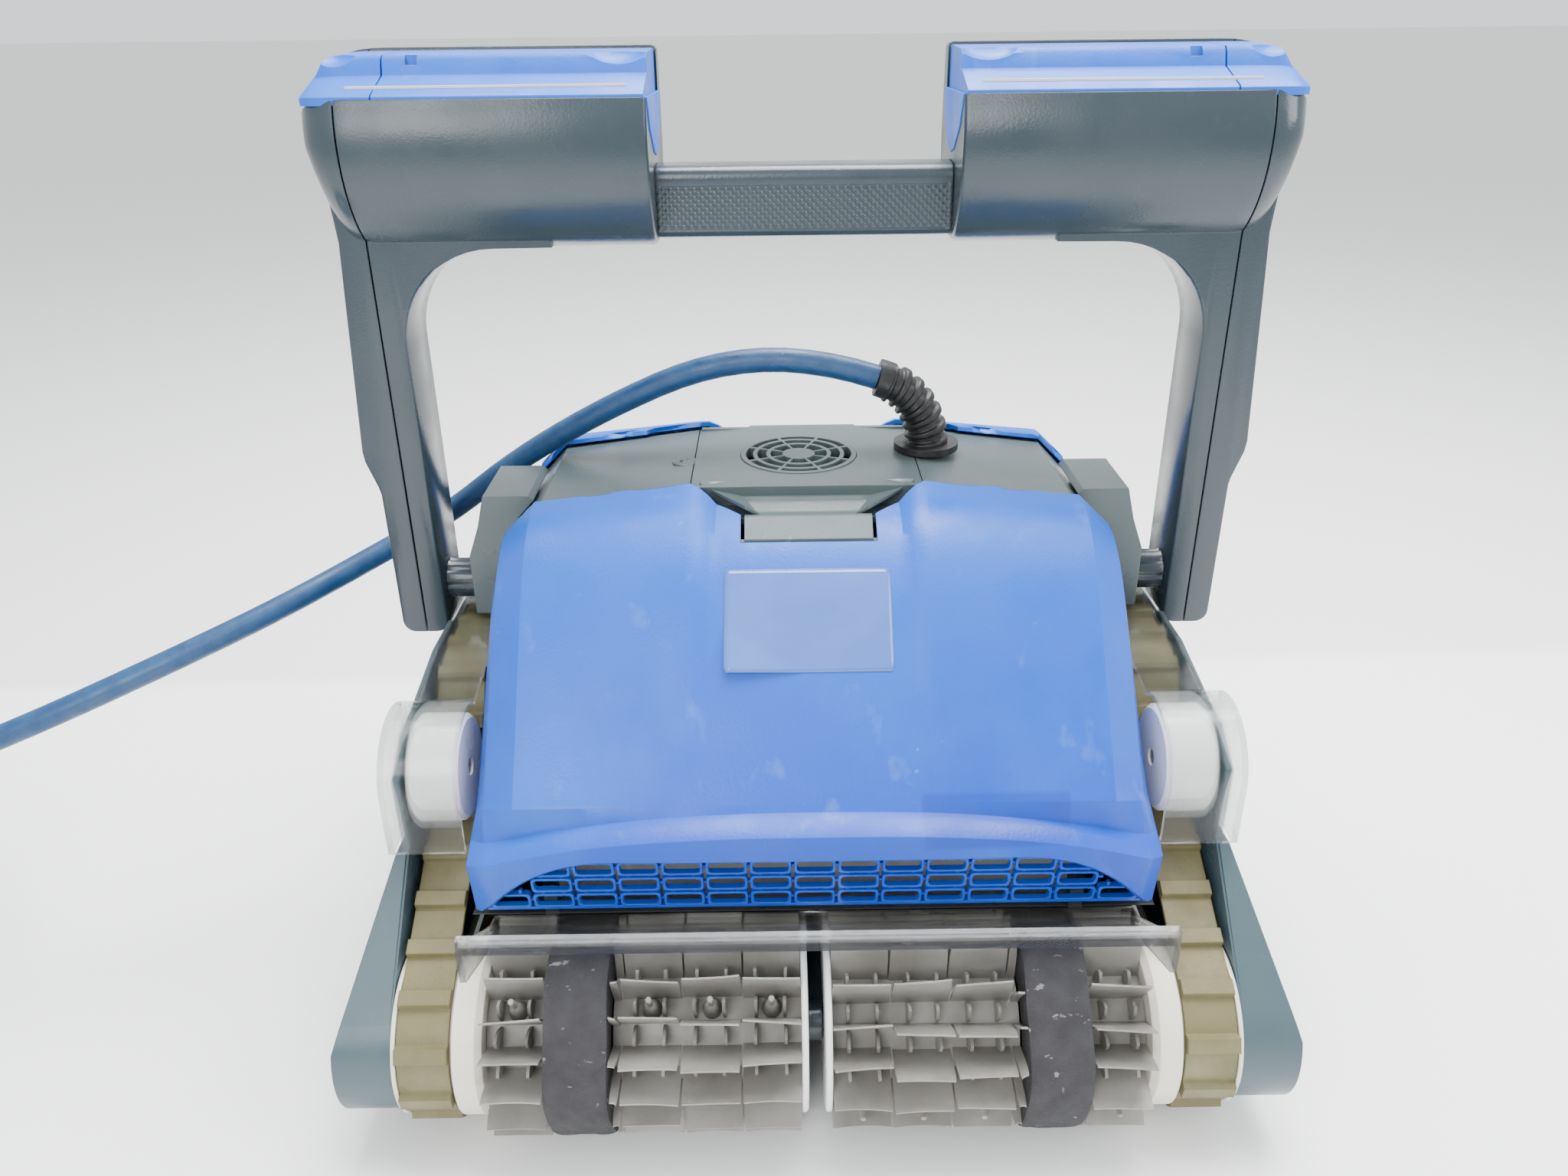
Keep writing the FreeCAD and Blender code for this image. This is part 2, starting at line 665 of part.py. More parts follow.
def make_window(label, sign):
    """The clear cover over both guide rollers and the top of the track."""
    roller = Vector(0, -size["roller_y"], size["roller_z"])
    low = 152.4
    outer_face = 186
    parts = []
    for radius, grow in ((29.6, 0), (27.6, 2)):
        bulge = Part.makeCylinder(radius, outer_face - low, roller + Vector(low - grow, 0, 0), X_AXIS)
        skirt = Part.makeBox(outer_face - low, 2 * radius, 26 + grow,
                             roller + Vector(low - grow, -radius, -26 - grow))
        parts.append(bulge.fuse(skirt))
    cap = parts[0].cut(parts[1])
    behind = Part.makeBox(80, 60, 120, Vector(140, -size["roller_y"] + 16, 60))
    below = Part.makeBox(80, 120, 59.4, Vector(140, -size["roller_y"] - 60, 60))
    cap = cap.cut([behind, below])
    top = Part.makeBox(178.2 - low, 100, 1.8, Vector(low, -50, 177.8))
    ramp = prism([(-93, 170.8), (-93, 173), (-50, 179.6), (-50, 177.8)], "x", low, 178.2)
    shape = cap.fuse([cap.mirror(Vector(0, 0, 0), Vector(0, 1, 0)), top, ramp,
                      ramp.mirror(Vector(0, 0, 0), Vector(0, 1, 0))])
    return feature(label, shape, Placement(Vector(), turned(sign)))


def make_screws():
    """Pan heads on both side panels."""
    heads = []
    for label, sign in SIDES:
        for y in (-162, -110, -50, 50, 110, 162):
            base = Vector(sign * size["panel_outer"], y, 42)
            name = "screw_%s_%d" % (label, len(heads))
            heads.append(cylinder(name, "Sizes.screw_radius", "1.5", base, Vector(sign, 0, 0)))
    return compound("panel_screws", heads)


# Brush brackets and guards --------------------------------------------------------------------

def make_brackets():
    """Arms that reach from the tub to the middle of each brush and hold its axle."""
    arms = []
    for label, sign in ENDS:
        arm = Part.makeBox(6, 50, 12, Vector(-3, -size["wheel_y"], size["wheel_z"] - 6))
        eye = Part.makeCylinder(9, 6, Vector(-3, -size["wheel_y"], size["wheel_z"]), X_AXIS)
        middle = Vector(-16, -size["wheel_y"], size["wheel_z"])
        axle = Part.makeCylinder(size["axle_radius"], 32, middle, X_AXIS)
        tail = Part.makeBox(6, 1.2, 1, Vector(-3, -113.2, size["wheel_z"]))
        shape = arm.fuse([eye, axle, tail])
        arms.append(feature("bracket_" + label, shape, Placement(Vector(), turned(-sign))))
    return compound("brush_brackets", arms)


def make_guard(label, sign):
    """The clear guard over a brush, with its front bar and two end cheeks."""
    profile = [(-148.5, 93.2), (-158, 95.5), (-200, 121.5), (-204, 124), (-204, 131), (-200.5, 131),
               (-199, 125), (-158, 98.5), (-148.5, 95.8)]
    plate = prism(profile, "x", -140, 140)
    cheeks = []
    for side in (-1, 1):
        low = 138 if side > 0 else -140.5
        cheek = [(-160, 95.5), (-172, 96.5), (-203.5, 110), (-203.5, 126), (-199, 125), (-160, 98.5)]
        cheeks.append(prism(cheek, "x", low, low + 2.5))
    return feature(label, plate.fuse(cheeks), Placement(Vector(), turned(-sign)))


# Motor unit -----------------------------------------------------------------------------------

def make_motor_housing():
    outer = box("housing_outside", "144", "76", "152", Vector(-72, -38, 20))
    inner = box("housing_inside", "138", "70", "146", Vector(-69, -35, 23))
    shell = cut("housing_shell", outer, inner)
    above = Vector(size["outlet_x"], 0, 160)
    beside = Vector(-80, 0, size["gear_z"])
    shaft = cylinder("housing_shaft_bore", "Sizes.shaft_radius + 0.2", "20", above, Z_AXIS)
    drive = cylinder("housing_drive_bore", "Sizes.axle_radius + 0.2", "160", beside, X_AXIS)
    return cut("motor_housing", shell, fuse("housing_bores", [shaft, drive]))


def make_pump_motor():
    can = cylinder("pump_can", "20", "84", Vector(size["outlet_x"], 0, 40), Z_AXIS)
    nose = cylinder("pump_nose", "8", "6", Vector(size["outlet_x"], 0, 124), Z_AXIS)
    return fuse("pump_motor", [can, nose])


def make_drive_motors():
    motors = []
    for label, sign in SIDES:
        motors.append(cylinder("drive_motor_" + label, "13", "42", Vector(sign * 24, 0, size["gear_z"]),
                               Vector(sign, 0, 0)))
    return compound("drive_motors", motors)


def make_control_board():
    board = box("board_plate", "120", "1.6", "44", Vector(-60, 29, 34))
    relay = box("board_relay", "22", "8", "16", Vector(-50, 21, 46))
    capacitor = cylinder("board_capacitor", "6", "20", Vector(40, 22, 44), Z_AXIS)
    return fuse("control_board", [board, relay, capacitor])


def make_impeller():
    """The impeller on its shaft: hub, disc and twisted blades."""
    body = new_body("impeller", Placement(Vector(size["outlet_x"], 0, 0), Rotation()))
    half = new_sketch(body, "XZ_Plane")
    shaft = size["shaft_radius"]
    add_outline(half, (0, 130.3), [(shaft, 130.3), (shaft, 196), (size["impeller_radius"], 196),
                                   (size["impeller_radius"], 198), (9, 198), (6, 214), (0, 216)])
    revolution(body, half, "V_Axis")
    root = new_sketch(body, "XY_Plane", "197")
    add_outline(root, (5, -1), [(16, -4, 26, -2), (26, 0), (16, -1.8, 5, 1)])
    blade = pad(body, root, "12")
    polar(body, [blade], "Z_Axis", 6)
    return body


def make_filter_baskets():
    """Front and rear baskets, hollow, with an intake slot in the floor."""
    outline = [(-49, 24), (-101, 24), (-106, 90), (-116, 110), (-122, 160), (-100, 192), (-62, 222),
               (-49, 222)]
    baskets = []
    for label, sign in ENDS:
        shell = prism(outline, "x", -126, 126).cut(prism(inset(outline, 2.2), "x", -123.8, 123.8))
        intake = Part.makeBox(176, 12, 20, Vector(-88, -68, 15))
        basket = feature("basket_" + label, shell.cut(intake), Placement(Vector(), turned(-sign)))
        baskets.append(basket)
    return compound("filter_baskets", baskets)


# Handle ---------------------------------------------------------------------------------------

def make_handle_frame():
    """Both arms, the arch and the hollow float shoulders, with the bosses at the pivots."""
    body = new_body("handle_frame")
    inner = size["arm_inner"]
    top = size["shoulder_top"]
    end = size["shoulder_inner"]
    for sign in (-1, 1):
        arm = new_sketch(body, "XZ_Plane")
        outline = [(inner, 173), (inner + 4, 168), (203, 168), (206, 173), (207, 245), (213, 262), (214, 357),
                   (212, 376), (end + 1, 376), (end + 1, 363), (146, 356), (176, 346), (185, 327)]
        points = [(sign * u, v) for u, v in outline]
        add_outline(arm, points[0], points[1:])
        pad(body, arm, "Sizes.arm_depth", midplane=True)
        shoulder = new_sketch(body, "XZ_Plane")
        outline = [(end, 366), (205, 366), (212, 378), (212, 396), (205, 418), (200, top), (end, top)]
        points = [(sign * u, v) for u, v in outline]
        add_outline(shoulder, points[0], points[1:])
        pad(body, shoulder, "Sizes.shoulder_depth", midplane=True)
    half = size["shoulder_depth"] / 2
    for sign in (-1, 1):
        lower = new_sketch(body, "YZ_Plane")
        outline = [(half + 5, 360), (20, 360), (20, 366), (half, 388), (half + 5, 388)]
        points = [(sign * u, v) for u, v in outline]
        add_outline(lower, points[0], points[1:])
        pocket(body, lower, "500", midplane=True)
        upper = new_sketch(body, "YZ_Plane")
        outline = [(half + 5, 400), (half, 400), (half - 4, top), (half - 4, top + 5), (half + 5, top + 5)]
        points = [(sign * u, v) for u, v in outline]
        add_outline(upper, points[0], points[1:])
        pocket(body, upper, "500", midplane=True)
    hollow = new_sketch(body, "XY_Plane", "Sizes.shoulder_top + 1")
    for sign in (-1, 1):
        add_rectangle(hollow, (sign * 134 - 62, -29), (sign * 134 + 62, 29))
    pocket(body, hollow, "46")
    for sign in (-1, 1):
        boss = new_sketch(body, "YZ_Plane", str(sign * 166.6))
        add_circle(boss, 0, size["pivot_z"], "Sizes.boss_radius")
        pad(body, boss, "16", backwards=sign < 0)
        bore = new_sketch(body, "YZ_Plane", str(sign * 160))
        add_circle(bore, 0, size["pivot_z"], "Sizes.pivot_radius + Sizes.running_gap")
        pocket(body, bore, "31", backwards=sign > 0)
    return body


def make_float_lid(label, sign):
    """The blue lid that closes a float shoulder."""
    low = size["shoulder_top"] + 0.1
    high = size["handle_top"]
    end = size["shoulder_inner"]
    outline = [(end, low), (end, high - 2), (end + 4, high), (178, high), (191, high - 5), (199, low)]
    side = [(-32.5, low), (-26, high), (26, high), (32.5, low)]
    points = [(sign * u, v) for u, v in outline]
    shape = prism(points, "y", -40, 40).common(prism(side, "x", -220, 220))
    return feature(label, shape)


def make_grip():
    body = new_body("handle_grip")
    bar = new_sketch(body, "YZ_Plane")
    half = size["grip_depth"] / 2
    add_outline(bar, (-half, 366), [(-half, 387), (-half + 5, 392), (half - 5, 392), (half, 387), (half, 366),
                                    (half - 5, 361), (-half + 5, 361)])
    pad(body, bar, "(Sizes.shoulder_inner - 0.1) * 2", midplane=True)
    return body


def make_floats():
    """Foam blocks inside the shoulders."""
    blocks = []
    for label, sign in SIDES:
        base = Vector(74 if sign > 0 else -190, -26, 386)
        blocks.append(box("float_" + label, "116", "52", "40", base))
    return compound("handle_floats", blocks)


# Cable ----------------------------------------------------------------------------------------

RELIEF_START = Vector(61, 10, 258.2)
CORD_ROUTE = [
    (36, 10, 291),
    (6, 12, 300.5),
    (-46, 16, 298),
    (-100, 25, 273),
    (-152, 42, 240),
    (-192, 45, 209),
    (-232, 26, 191),
    (-270, -9, 179),
    (-318, -38, 164),
    (-378, -60, 143),
    (-438, -67, 121),
    (-492, -61, 98),
    (-541, -49, 77),
    (-590, -45.5, 57),
]


def rounded_path(points, show=False):
    """Straight runs joined by tangent arcs, as large as the two runs at each point allow."""
    points = [Vector(*point) for point in points]
    curves = []
    here = points[0]
    for before, corner, after in zip(points, points[1:], points[2:]):
        arrive = corner - before
        leave = after - corner
        turn = arrive.getAngle(leave)
        reach = 0.45 * min(arrive.Length, leave.Length)
        radius = reach / math.tan(turn / 2)
        if show:
            print("cord arc radius %.0f mm, turn %.0f degrees" % (radius, math.degrees(turn)))
        start = corner - arrive.normalize() * reach
        end = corner + leave.normalize() * reach
        inward = (start + end) * 0.5 - corner
        middle = corner + inward.normalize() * (radius / math.cos(turn / 2) - radius)
        curves.append(Part.LineSegment(here, start))
        curves.append(Part.Arc(start, middle, end))
        here = end
    curves.append(Part.LineSegment(here, points[-1]))
    return Part.Wire([curve.toShape() for curve in curves])


def tube(path, radius):
    """A round tube along a path, from its first point."""
    first = path.OrderedEdges[0]
    start = first.valueAt(first.FirstParameter)
    heading = first.tangentAt(first.FirstParameter)
    if (start - path.OrderedVertexes[0].Point).Length > 0.01:
        raise ValueError("the path's first edge is reversed")
    ring = Part.Wire(Part.makeCircle(radius, start, heading))
    return path.makePipeShell([ring], True, False)


def make_cord_tube():
    path = rounded_path(CORD_ROUTE, show=True)
    radius = size["cord_diameter"] / 2
    shape = tube(path, radius)
    print("cord tube volume %.0f, section times length %.0f, length %.0f"
          % (shape.Volume, math.pi * radius ** 2 * path.Length, path.Length))
    return feature("cord_tube", shape)


def make_gland():
    base = Vector(size["gland_x"], size["gland_y"], 254.9)
    flange = cylinder("gland_flange", "Sizes.gland_radius", "3.3", base, Z_AXIS)
    stem = cylinder("gland_stem", "9", "14", base + Vector(0, 0, -12), Z_AXIS)
    return fuse("cable_gland", [flange, stem])


def make_strain_relief():
    """The bent sleeve that leads the cable out of the gland."""
    end = Vector(*CORD_ROUTE[0])
    rise = end.z - RELIEF_START.z
    shift = RELIEF_START.x - end.x
    radius = (rise ** 2 + shift ** 2) / (2 * shift)
    turn = math.asin(rise / radius)
    middle = Vector(RELIEF_START.x - radius * (1 - math.cos(turn / 2)), end.y,
                    RELIEF_START.z + radius * math.sin(turn / 2))
    bend = Part.Wire(Part.Arc(RELIEF_START, middle, end).toShape())
    sleeve = tube(bend, size["relief_radius"] - 0.8)
    ribs = []
    for index in range(6):
        angle = turn * (0.06 + index * 0.155)
        place = Vector(RELIEF_START.x - radius * (1 - math.cos(angle)), end.y,
                       RELIEF_START.z + radius * math.sin(angle))
        heading = Vector(-math.sin(angle), 0, math.cos(angle))
        ribs.append(Part.makeCylinder(size["relief_radius"], 3, place, heading))
    return feature("cable_strain_relief", sleeve.fuse(ribs))


def make_coil():
    """The outer shape of the coiled cable."""
    body = new_body("cord_coil", Placement(Vector(size["coil_x"], size["coil_y"], 0), Rotation()))
    half = new_sketch(body, "XZ_Plane")
    inner = size["coil_inner"]
    outer = size["coil_outer"]
    top = size["coil_height"]
    round_off = 8
    add_outline(half, (inner + round_off, 0), [
        (outer - round_off, 0), (outer - 2.3, 2.3, outer, round_off), (outer, top - round_off),
        (outer - 2.3, top - 2.3, outer - round_off, top), (inner + round_off, top),
        (inner + 2.3, top - 2.3, inner, top - round_off), (inner, round_off),
        (inner + 2.3, 2.3, inner + round_off, 0)])
    revolution(body, half, "V_Axis")
    return body


def make_plug():
    """The round plug on the cable's far end, beside the coil."""
    angle = math.radians(-60)
    start = Vector(size["coil_x"] + (size["coil_outer"] - 4) * math.cos(angle),
                   size["coil_y"] + (size["coil_outer"] - 4) * math.sin(angle), size["plug_radius"] + 1)
    heading = Vector(math.cos(math.radians(-15)), math.sin(math.radians(-15)), 0)
    neck = cylinder("plug_neck", "9", "22", start, heading)
    barrel = cylinder("plug_barrel", "Sizes.plug_radius", "Sizes.plug_length", start + heading * 20, heading)
    ring = cylinder("plug_ring", "Sizes.plug_radius + 1", "16", start + heading * 48, heading)
    return fuse("cord_plug", [neck, barrel, ring])


# The whole machine ----------------------------------------------------------------------------

def build():
    tub = make_tub()
    doc.recompute()
    lugs = make_hinge_lugs(-1) + make_hinge_lugs(1)
    ears = [feature("hinge_ear_%d" % index, lug) for index, lug in enumerate(lugs)]
    tub.Label = "tub_shell"
    keep(fuse("chassis_tub", [tub] + ears))
    for make in (make_bottom_plate, make_centre_frame, make_top_centre, make_top_wings, make_pivot_blocks,
                 make_outlet_grille, make_outlet_duct, make_motor_housing, make_pump_motor,
                 make_drive_motors, make_control_board, make_impeller, make_filter_baskets,
                 make_brackets, make_screws, make_handle_frame, make_grip, make_floats, make_gland,
                 make_strain_relief, make_cord_tube, make_coil, make_plug):
        keep(make())
    for end, end_sign in ENDS:
        keep(make_lid(end + "_filter_lid", end_sign))
        keep(make_latch(end + "_lid_latch", end_sign))
        keep(make_guard(end + "_brush_guard", end_sign))
    for side, side_sign in SIDES:
        keep(make_side_panel(side + "_side_panel", side_sign))
        keep(make_window(side + "_roller_window", side_sign))
        keep(make_track(side + "_track", side_sign))
        keep(make_drive_gear(side + "_drive_gear", side_sign))
        keep(make_float_lid(side + "_float_lid", side_sign))
        for end, end_sign in ENDS:
            name = "%s_%s" % (end, side)
            keep(make_wheel(name + "_track_wheel", side_sign, end_sign * size["wheel_y"]))
            keep(make_brush(name + "_brush", side_sign, end_sign * size["wheel_y"]))
            keep(make_foam_ring(name + "_foam_ring", side_sign, end_sign * size["wheel_y"]))
            keep(make_roller(name + "_guide_roller", side_sign, end_sign * size["roller_y"]))
            keep(make_pulley(name + "_pulley", side_sign, end_sign * size["pulley_y"]))


def check():
    """Stop if any object failed, or if a kept shape is empty or not valid."""
    for item in doc.Objects:
        if "Invalid" in item.State or "Error" in item.State:
            raise RuntimeError("%s (%s) failed: %s" % (item.Label, item.Name, item.State))
    for item in nodes:
        if item.Shape.isNull() or not item.Shape.isValid() or item.Shape.Volume < 1:
            raise RuntimeError("%s has no valid solid" % item.Label)


def export():
    os.makedirs("parts", exist_ok=True)
    for item in nodes:
        item.Shape.exportStep("parts/%s.step" % item.Label)
        print("%-26s %d solids %10.0f mm3" % (item.Label, len(item.Shape.Solids), item.Shape.Volume))
    print(len(nodes), "nodes")


build()
doc.recompute()
check()
export()
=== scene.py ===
"""The looks of a tracked pool cleaner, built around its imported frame.

Lengths are metres in the frame: X to the right, Y to the back, Z up. Outlines are written in millimetres.
"""
import json
import math
import random

import bmesh
import bpy
from mathutils import Matrix, Vector
from mathutils.bvhtree import BVHTree


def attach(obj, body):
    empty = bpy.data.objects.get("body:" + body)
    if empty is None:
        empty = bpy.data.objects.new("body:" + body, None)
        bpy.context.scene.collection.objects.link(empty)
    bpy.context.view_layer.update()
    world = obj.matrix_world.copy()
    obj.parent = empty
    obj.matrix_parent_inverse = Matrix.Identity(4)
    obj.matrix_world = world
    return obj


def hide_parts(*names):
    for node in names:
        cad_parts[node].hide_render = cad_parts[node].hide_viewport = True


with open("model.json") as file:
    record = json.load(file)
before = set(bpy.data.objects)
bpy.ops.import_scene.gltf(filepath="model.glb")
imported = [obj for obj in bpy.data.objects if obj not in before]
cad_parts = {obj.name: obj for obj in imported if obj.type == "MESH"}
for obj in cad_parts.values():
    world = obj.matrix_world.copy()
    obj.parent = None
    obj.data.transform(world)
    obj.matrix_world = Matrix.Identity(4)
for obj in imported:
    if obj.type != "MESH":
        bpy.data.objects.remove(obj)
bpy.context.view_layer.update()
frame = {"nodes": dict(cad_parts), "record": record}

MM = 0.001
SIDES = (("left", -1), ("right", 1))
ENDS = (("front", -1), ("rear", 1))
WHEEL_Y, WHEEL_Z = 162, 46
LOOKS = {}


def add_object(name, data):
    """Makes an object and puts it in the scene."""
    obj = bpy.data.objects.new(name, data)
    bpy.context.scene.collection.objects.link(obj)
    return obj


# Camera, light and floor ----------------------------------------------------------------------

def make_camera():
    """The view over the front lid, from above the brushes."""
    pitch, yaw, roll = (math.radians(angle) for angle in (25.56, 0.23, -0.66))
    forward = Vector((math.sin(yaw) * math.cos(pitch), math.cos(yaw) * math.cos(pitch), -math.sin(pitch)))
    level = Vector((math.cos(yaw), -math.sin(yaw), 0))
    upright = level.cross(forward)
    right = level * math.cos(roll) + upright * math.sin(roll)
    up = upright * math.cos(roll) - level * math.sin(roll)
    data = bpy.data.cameras.new("camera")
    data.sensor_width = 36
    data.lens = 27.07
    data.clip_start = 0.01
    camera = add_object("camera", data)
    place = Matrix((right, up, -forward)).transposed().to_4x4()
    place.translation = Vector((-13.2, -554.5, 447.4)) * MM
    camera.matrix_world = place
    bpy.context.scene.camera = camera


def area_light(name, place, target, width, power, color=(1, 1, 1)):
    """A soft square light. Its width is in metres and its power in watts."""
    data = bpy.data.lights.new(name, "AREA")
    data.shape = "SQUARE"
    data.size = width
    data.energy = power
    data.color = color
    light = add_object(name, data)
    light.location = place
    light.rotation_euler = (Vector(target) - Vector(place)).to_track_quat("-Z", "Y").to_euler()


def make_light():
    """A pale world, a large light overhead and two fills."""
    world = bpy.data.worlds.new("studio")
    world.use_nodes = True
    background = world.node_tree.nodes["Background"]
    background.inputs["Color"].default_value = (0.86, 0.90, 0.92, 1)
    background.inputs["Strength"].default_value = 1.45
    bpy.context.scene.world = world
    area_light("top_light", (0.15, 0.25, 1.5), (0, 0, 0.2), 1.1, 76)
    area_light("front_light", (-0.5, -1.5, 1.0), (0, 0, 0.15), 0.8, 20)
    area_light("side_light", (1.3, -0.4, 0.8), (0, 0, 0.2), 0.6, 9, (0.95, 0.97, 1))


# Materials ------------------------------------------------------------------------------------

class Look:
    """A principled material, with the nodes that vary its colour, roughness and surface."""

    def __init__(self, name, color, roughness, edge=0.0, **sockets):
        self.material = bpy.data.materials.new(name)
        self.material.use_nodes = True
        self.tree = self.material.node_tree
        self.shader = self.tree.nodes["Principled BSDF"]
        self.shader.inputs["Base Color"].default_value = (*color, 1)
        self.shader.inputs["Roughness"].default_value = roughness
        for socket, value in sockets.items():
            self.shader.inputs[socket.replace("_", " ")].default_value = value
        self.place = self.node("ShaderNodeTexCoord").outputs["Object"]
        self.tone = None
        self.base = (*color, 1)
        self.normal = None
        if edge:
            soft = self.node("ShaderNodeBevel")
            soft.samples = 4
            soft.inputs["Radius"].default_value = edge
            self.normal = soft.outputs["Normal"]
            self.tree.links.new(self.normal, self.shader.inputs["Normal"])

    def node(self, kind, **settings):
        """A new node of the material."""
        made = self.tree.nodes.new(kind)
        for key, value in settings.items():
            setattr(made, key, value)
        return made

    def noise(self, scale, detail=3.0, stretch=(1, 1, 1), low=0.35, high=0.65):
        """Noise in the object's own space, spread so that low gives 0 and high gives 1."""
        mapping = self.node("ShaderNodeMapping")
        mapping.inputs["Scale"].default_value = stretch
        self.tree.links.new(self.place, mapping.inputs["Vector"])
        texture = self.node("ShaderNodeTexNoise")
        texture.inputs["Scale"].default_value = scale
        texture.inputs["Detail"].default_value = detail
        self.tree.links.new(mapping.outputs["Vector"], texture.inputs["Vector"])
        return self.spread(texture.outputs["Fac"], low, high)

    def spread(self, source, low, high, bottom=0.0, top=1.0):
        """Maps low to bottom and high to top, and holds the ends."""
        ranged = self.node("ShaderNodeMapRange")
        for name, value in (("From Min", low), ("From Max", high), ("To Min", bottom), ("To Max", top)):
            ranged.inputs[name].default_value = value
        self.tree.links.new(source, ranged.inputs["Value"])
        return ranged.outputs["Result"]

    def calculate(self, operation, first, second):
        """A Math node of two values, each a number or a socket."""
        made = self.node("ShaderNodeMath", operation=operation)
        for socket, value in zip(made.inputs, (first, second)):
            if isinstance(value, (int, float)):
                socket.default_value = value
            else:
                self.tree.links.new(value, socket)
        return made.outputs[0]

    def coordinate(self, axis):
        """The object's own X, Y or Z."""
        parts = self.node("ShaderNodeSeparateXYZ")
        self.tree.links.new(self.place, parts.inputs[0])
        return parts.outputs[axis]

    def band(self, axis, low, high, blur=0.0008):
        """1 between two heights on an axis, 0 outside them."""
        value = self.coordinate(axis)
        rise = self.spread(value, low - blur, low + blur)
        fall = self.spread(value, high - blur, high + blur, 1.0, 0.0)
        return self.calculate("MULTIPLY", rise, fall)

    def tint(self, color, share, amount=1.0):
        """Mixes a colour over what is there, where share is high."""
        mixed = self.node("ShaderNodeMix", data_type="RGBA")
        strength = self.calculate("MULTIPLY", share, amount)
        factor, under, over, result = mixed.inputs[0], mixed.inputs[6], mixed.inputs[7], mixed.outputs[2]
        self.tree.links.new(strength, factor)
        under.default_value = self.base
        if self.tone is not None:
            self.tree.links.new(self.tone, under)
        over.default_value = (*color, 1)
        self.tone = result
        self.tree.links.new(self.tone, self.shader.inputs["Base Color"])
        return self

    def gloss(self, share, low, high):
        """Varies the roughness between two values."""
        self.tree.links.new(self.spread(share, 0, 1, low, high), self.shader.inputs["Roughness"])
        return self

    def bump(self, height, depth):
        """Raises the surface by up to depth metres, over the soft edges."""
        made = self.node("ShaderNodeBump")
        made.inputs["Distance"].default_value = depth
        made.inputs["Strength"].default_value = 1.0
        self.tree.links.new(height, made.inputs["Height"])
        if self.normal is not None:
            self.tree.links.new(self.normal, made.inputs["Normal"])
        self.normal = made.outputs["Normal"]
        self.tree.links.new(self.normal, self.shader.inputs["Normal"])
        return self


def moulded(name, color, light, roughness, edge=0.0008, wear=0.25):
    """A moulded plastic: clouded colour, faint scuffs and a fine grain."""
    look = Look(name, color, roughness, edge, Coat_Weight=0.06, Coat_Roughness=0.25,
                Specular_IOR_Level=0.42)
    look.tint(light, look.noise(9, 4, low=0.3, high=0.75), 0.35)
    look.tint(light, look.noise(170, 5, (1, 0.25, 1), 0.62, 0.78), wear)
    look.gloss(look.noise(26, 5), roughness - 0.06, roughness + 0.12)
    look.bump(look.noise(900, 2), 0.00002)
    return look


def blue_plastic(name, patch=False):
    """The lids' blue, paler towards the top, with water marks, rubbed spots and an optional patch."""
    look = Look(name, (0.0, 0.050, 0.42), 0.34, 0.0006, Coat_Weight=0.05, Coat_Roughness=0.3,
                Specular_IOR_Level=0.32)
    rise = look.spread(look.coordinate("Z"), 0.13, 0.25)
    look.tint((0.002, 0.105, 0.54), rise, 0.85)
    look.tint((0.025, 0.185, 0.62), look.noise(11, 6, (1, 1, 0.6), 0.52, 0.85), 0.45)
    look.tint((0.17, 0.34, 0.68), look.noise(60, 6, (1, 1, 0.22), 0.62, 0.82), 0.35)
    look.tint((0.09, 0.20, 0.55), look.noise(150, 2, low=0.76, high=0.8), 0.5)
    if patch:
        across, upwards = look.band("X", 0.0447, 0.1064), look.band("Z", 0.1425, 0.1578)
        look.tint((0.0, 0.040, 0.36), look.calculate("MULTIPLY", across, upwards), 0.85)
    look.gloss(look.noise(30, 5), 0.3, 0.52)
    look.bump(look.noise(700, 3), 0.00003)
    return look


def clear_plastic(name):
    """Smoky clear plastic with fine scratches."""
    look = Look(name, (0.88, 0.90, 0.89), 0.1, Transmission_Weight=1.0, IOR=1.3, Alpha=0.62)
    look.tint((0.66, 0.68, 0.66), look.noise(26, 5, low=0.45, high=0.8), 0.5)
    look.gloss(look.noise(90, 6, (0.3, 1, 1), 0.4, 0.75), 0.05, 0.3)
    look.bump(look.noise(240, 3, (0.2, 1, 1)), 0.00001)
    return look


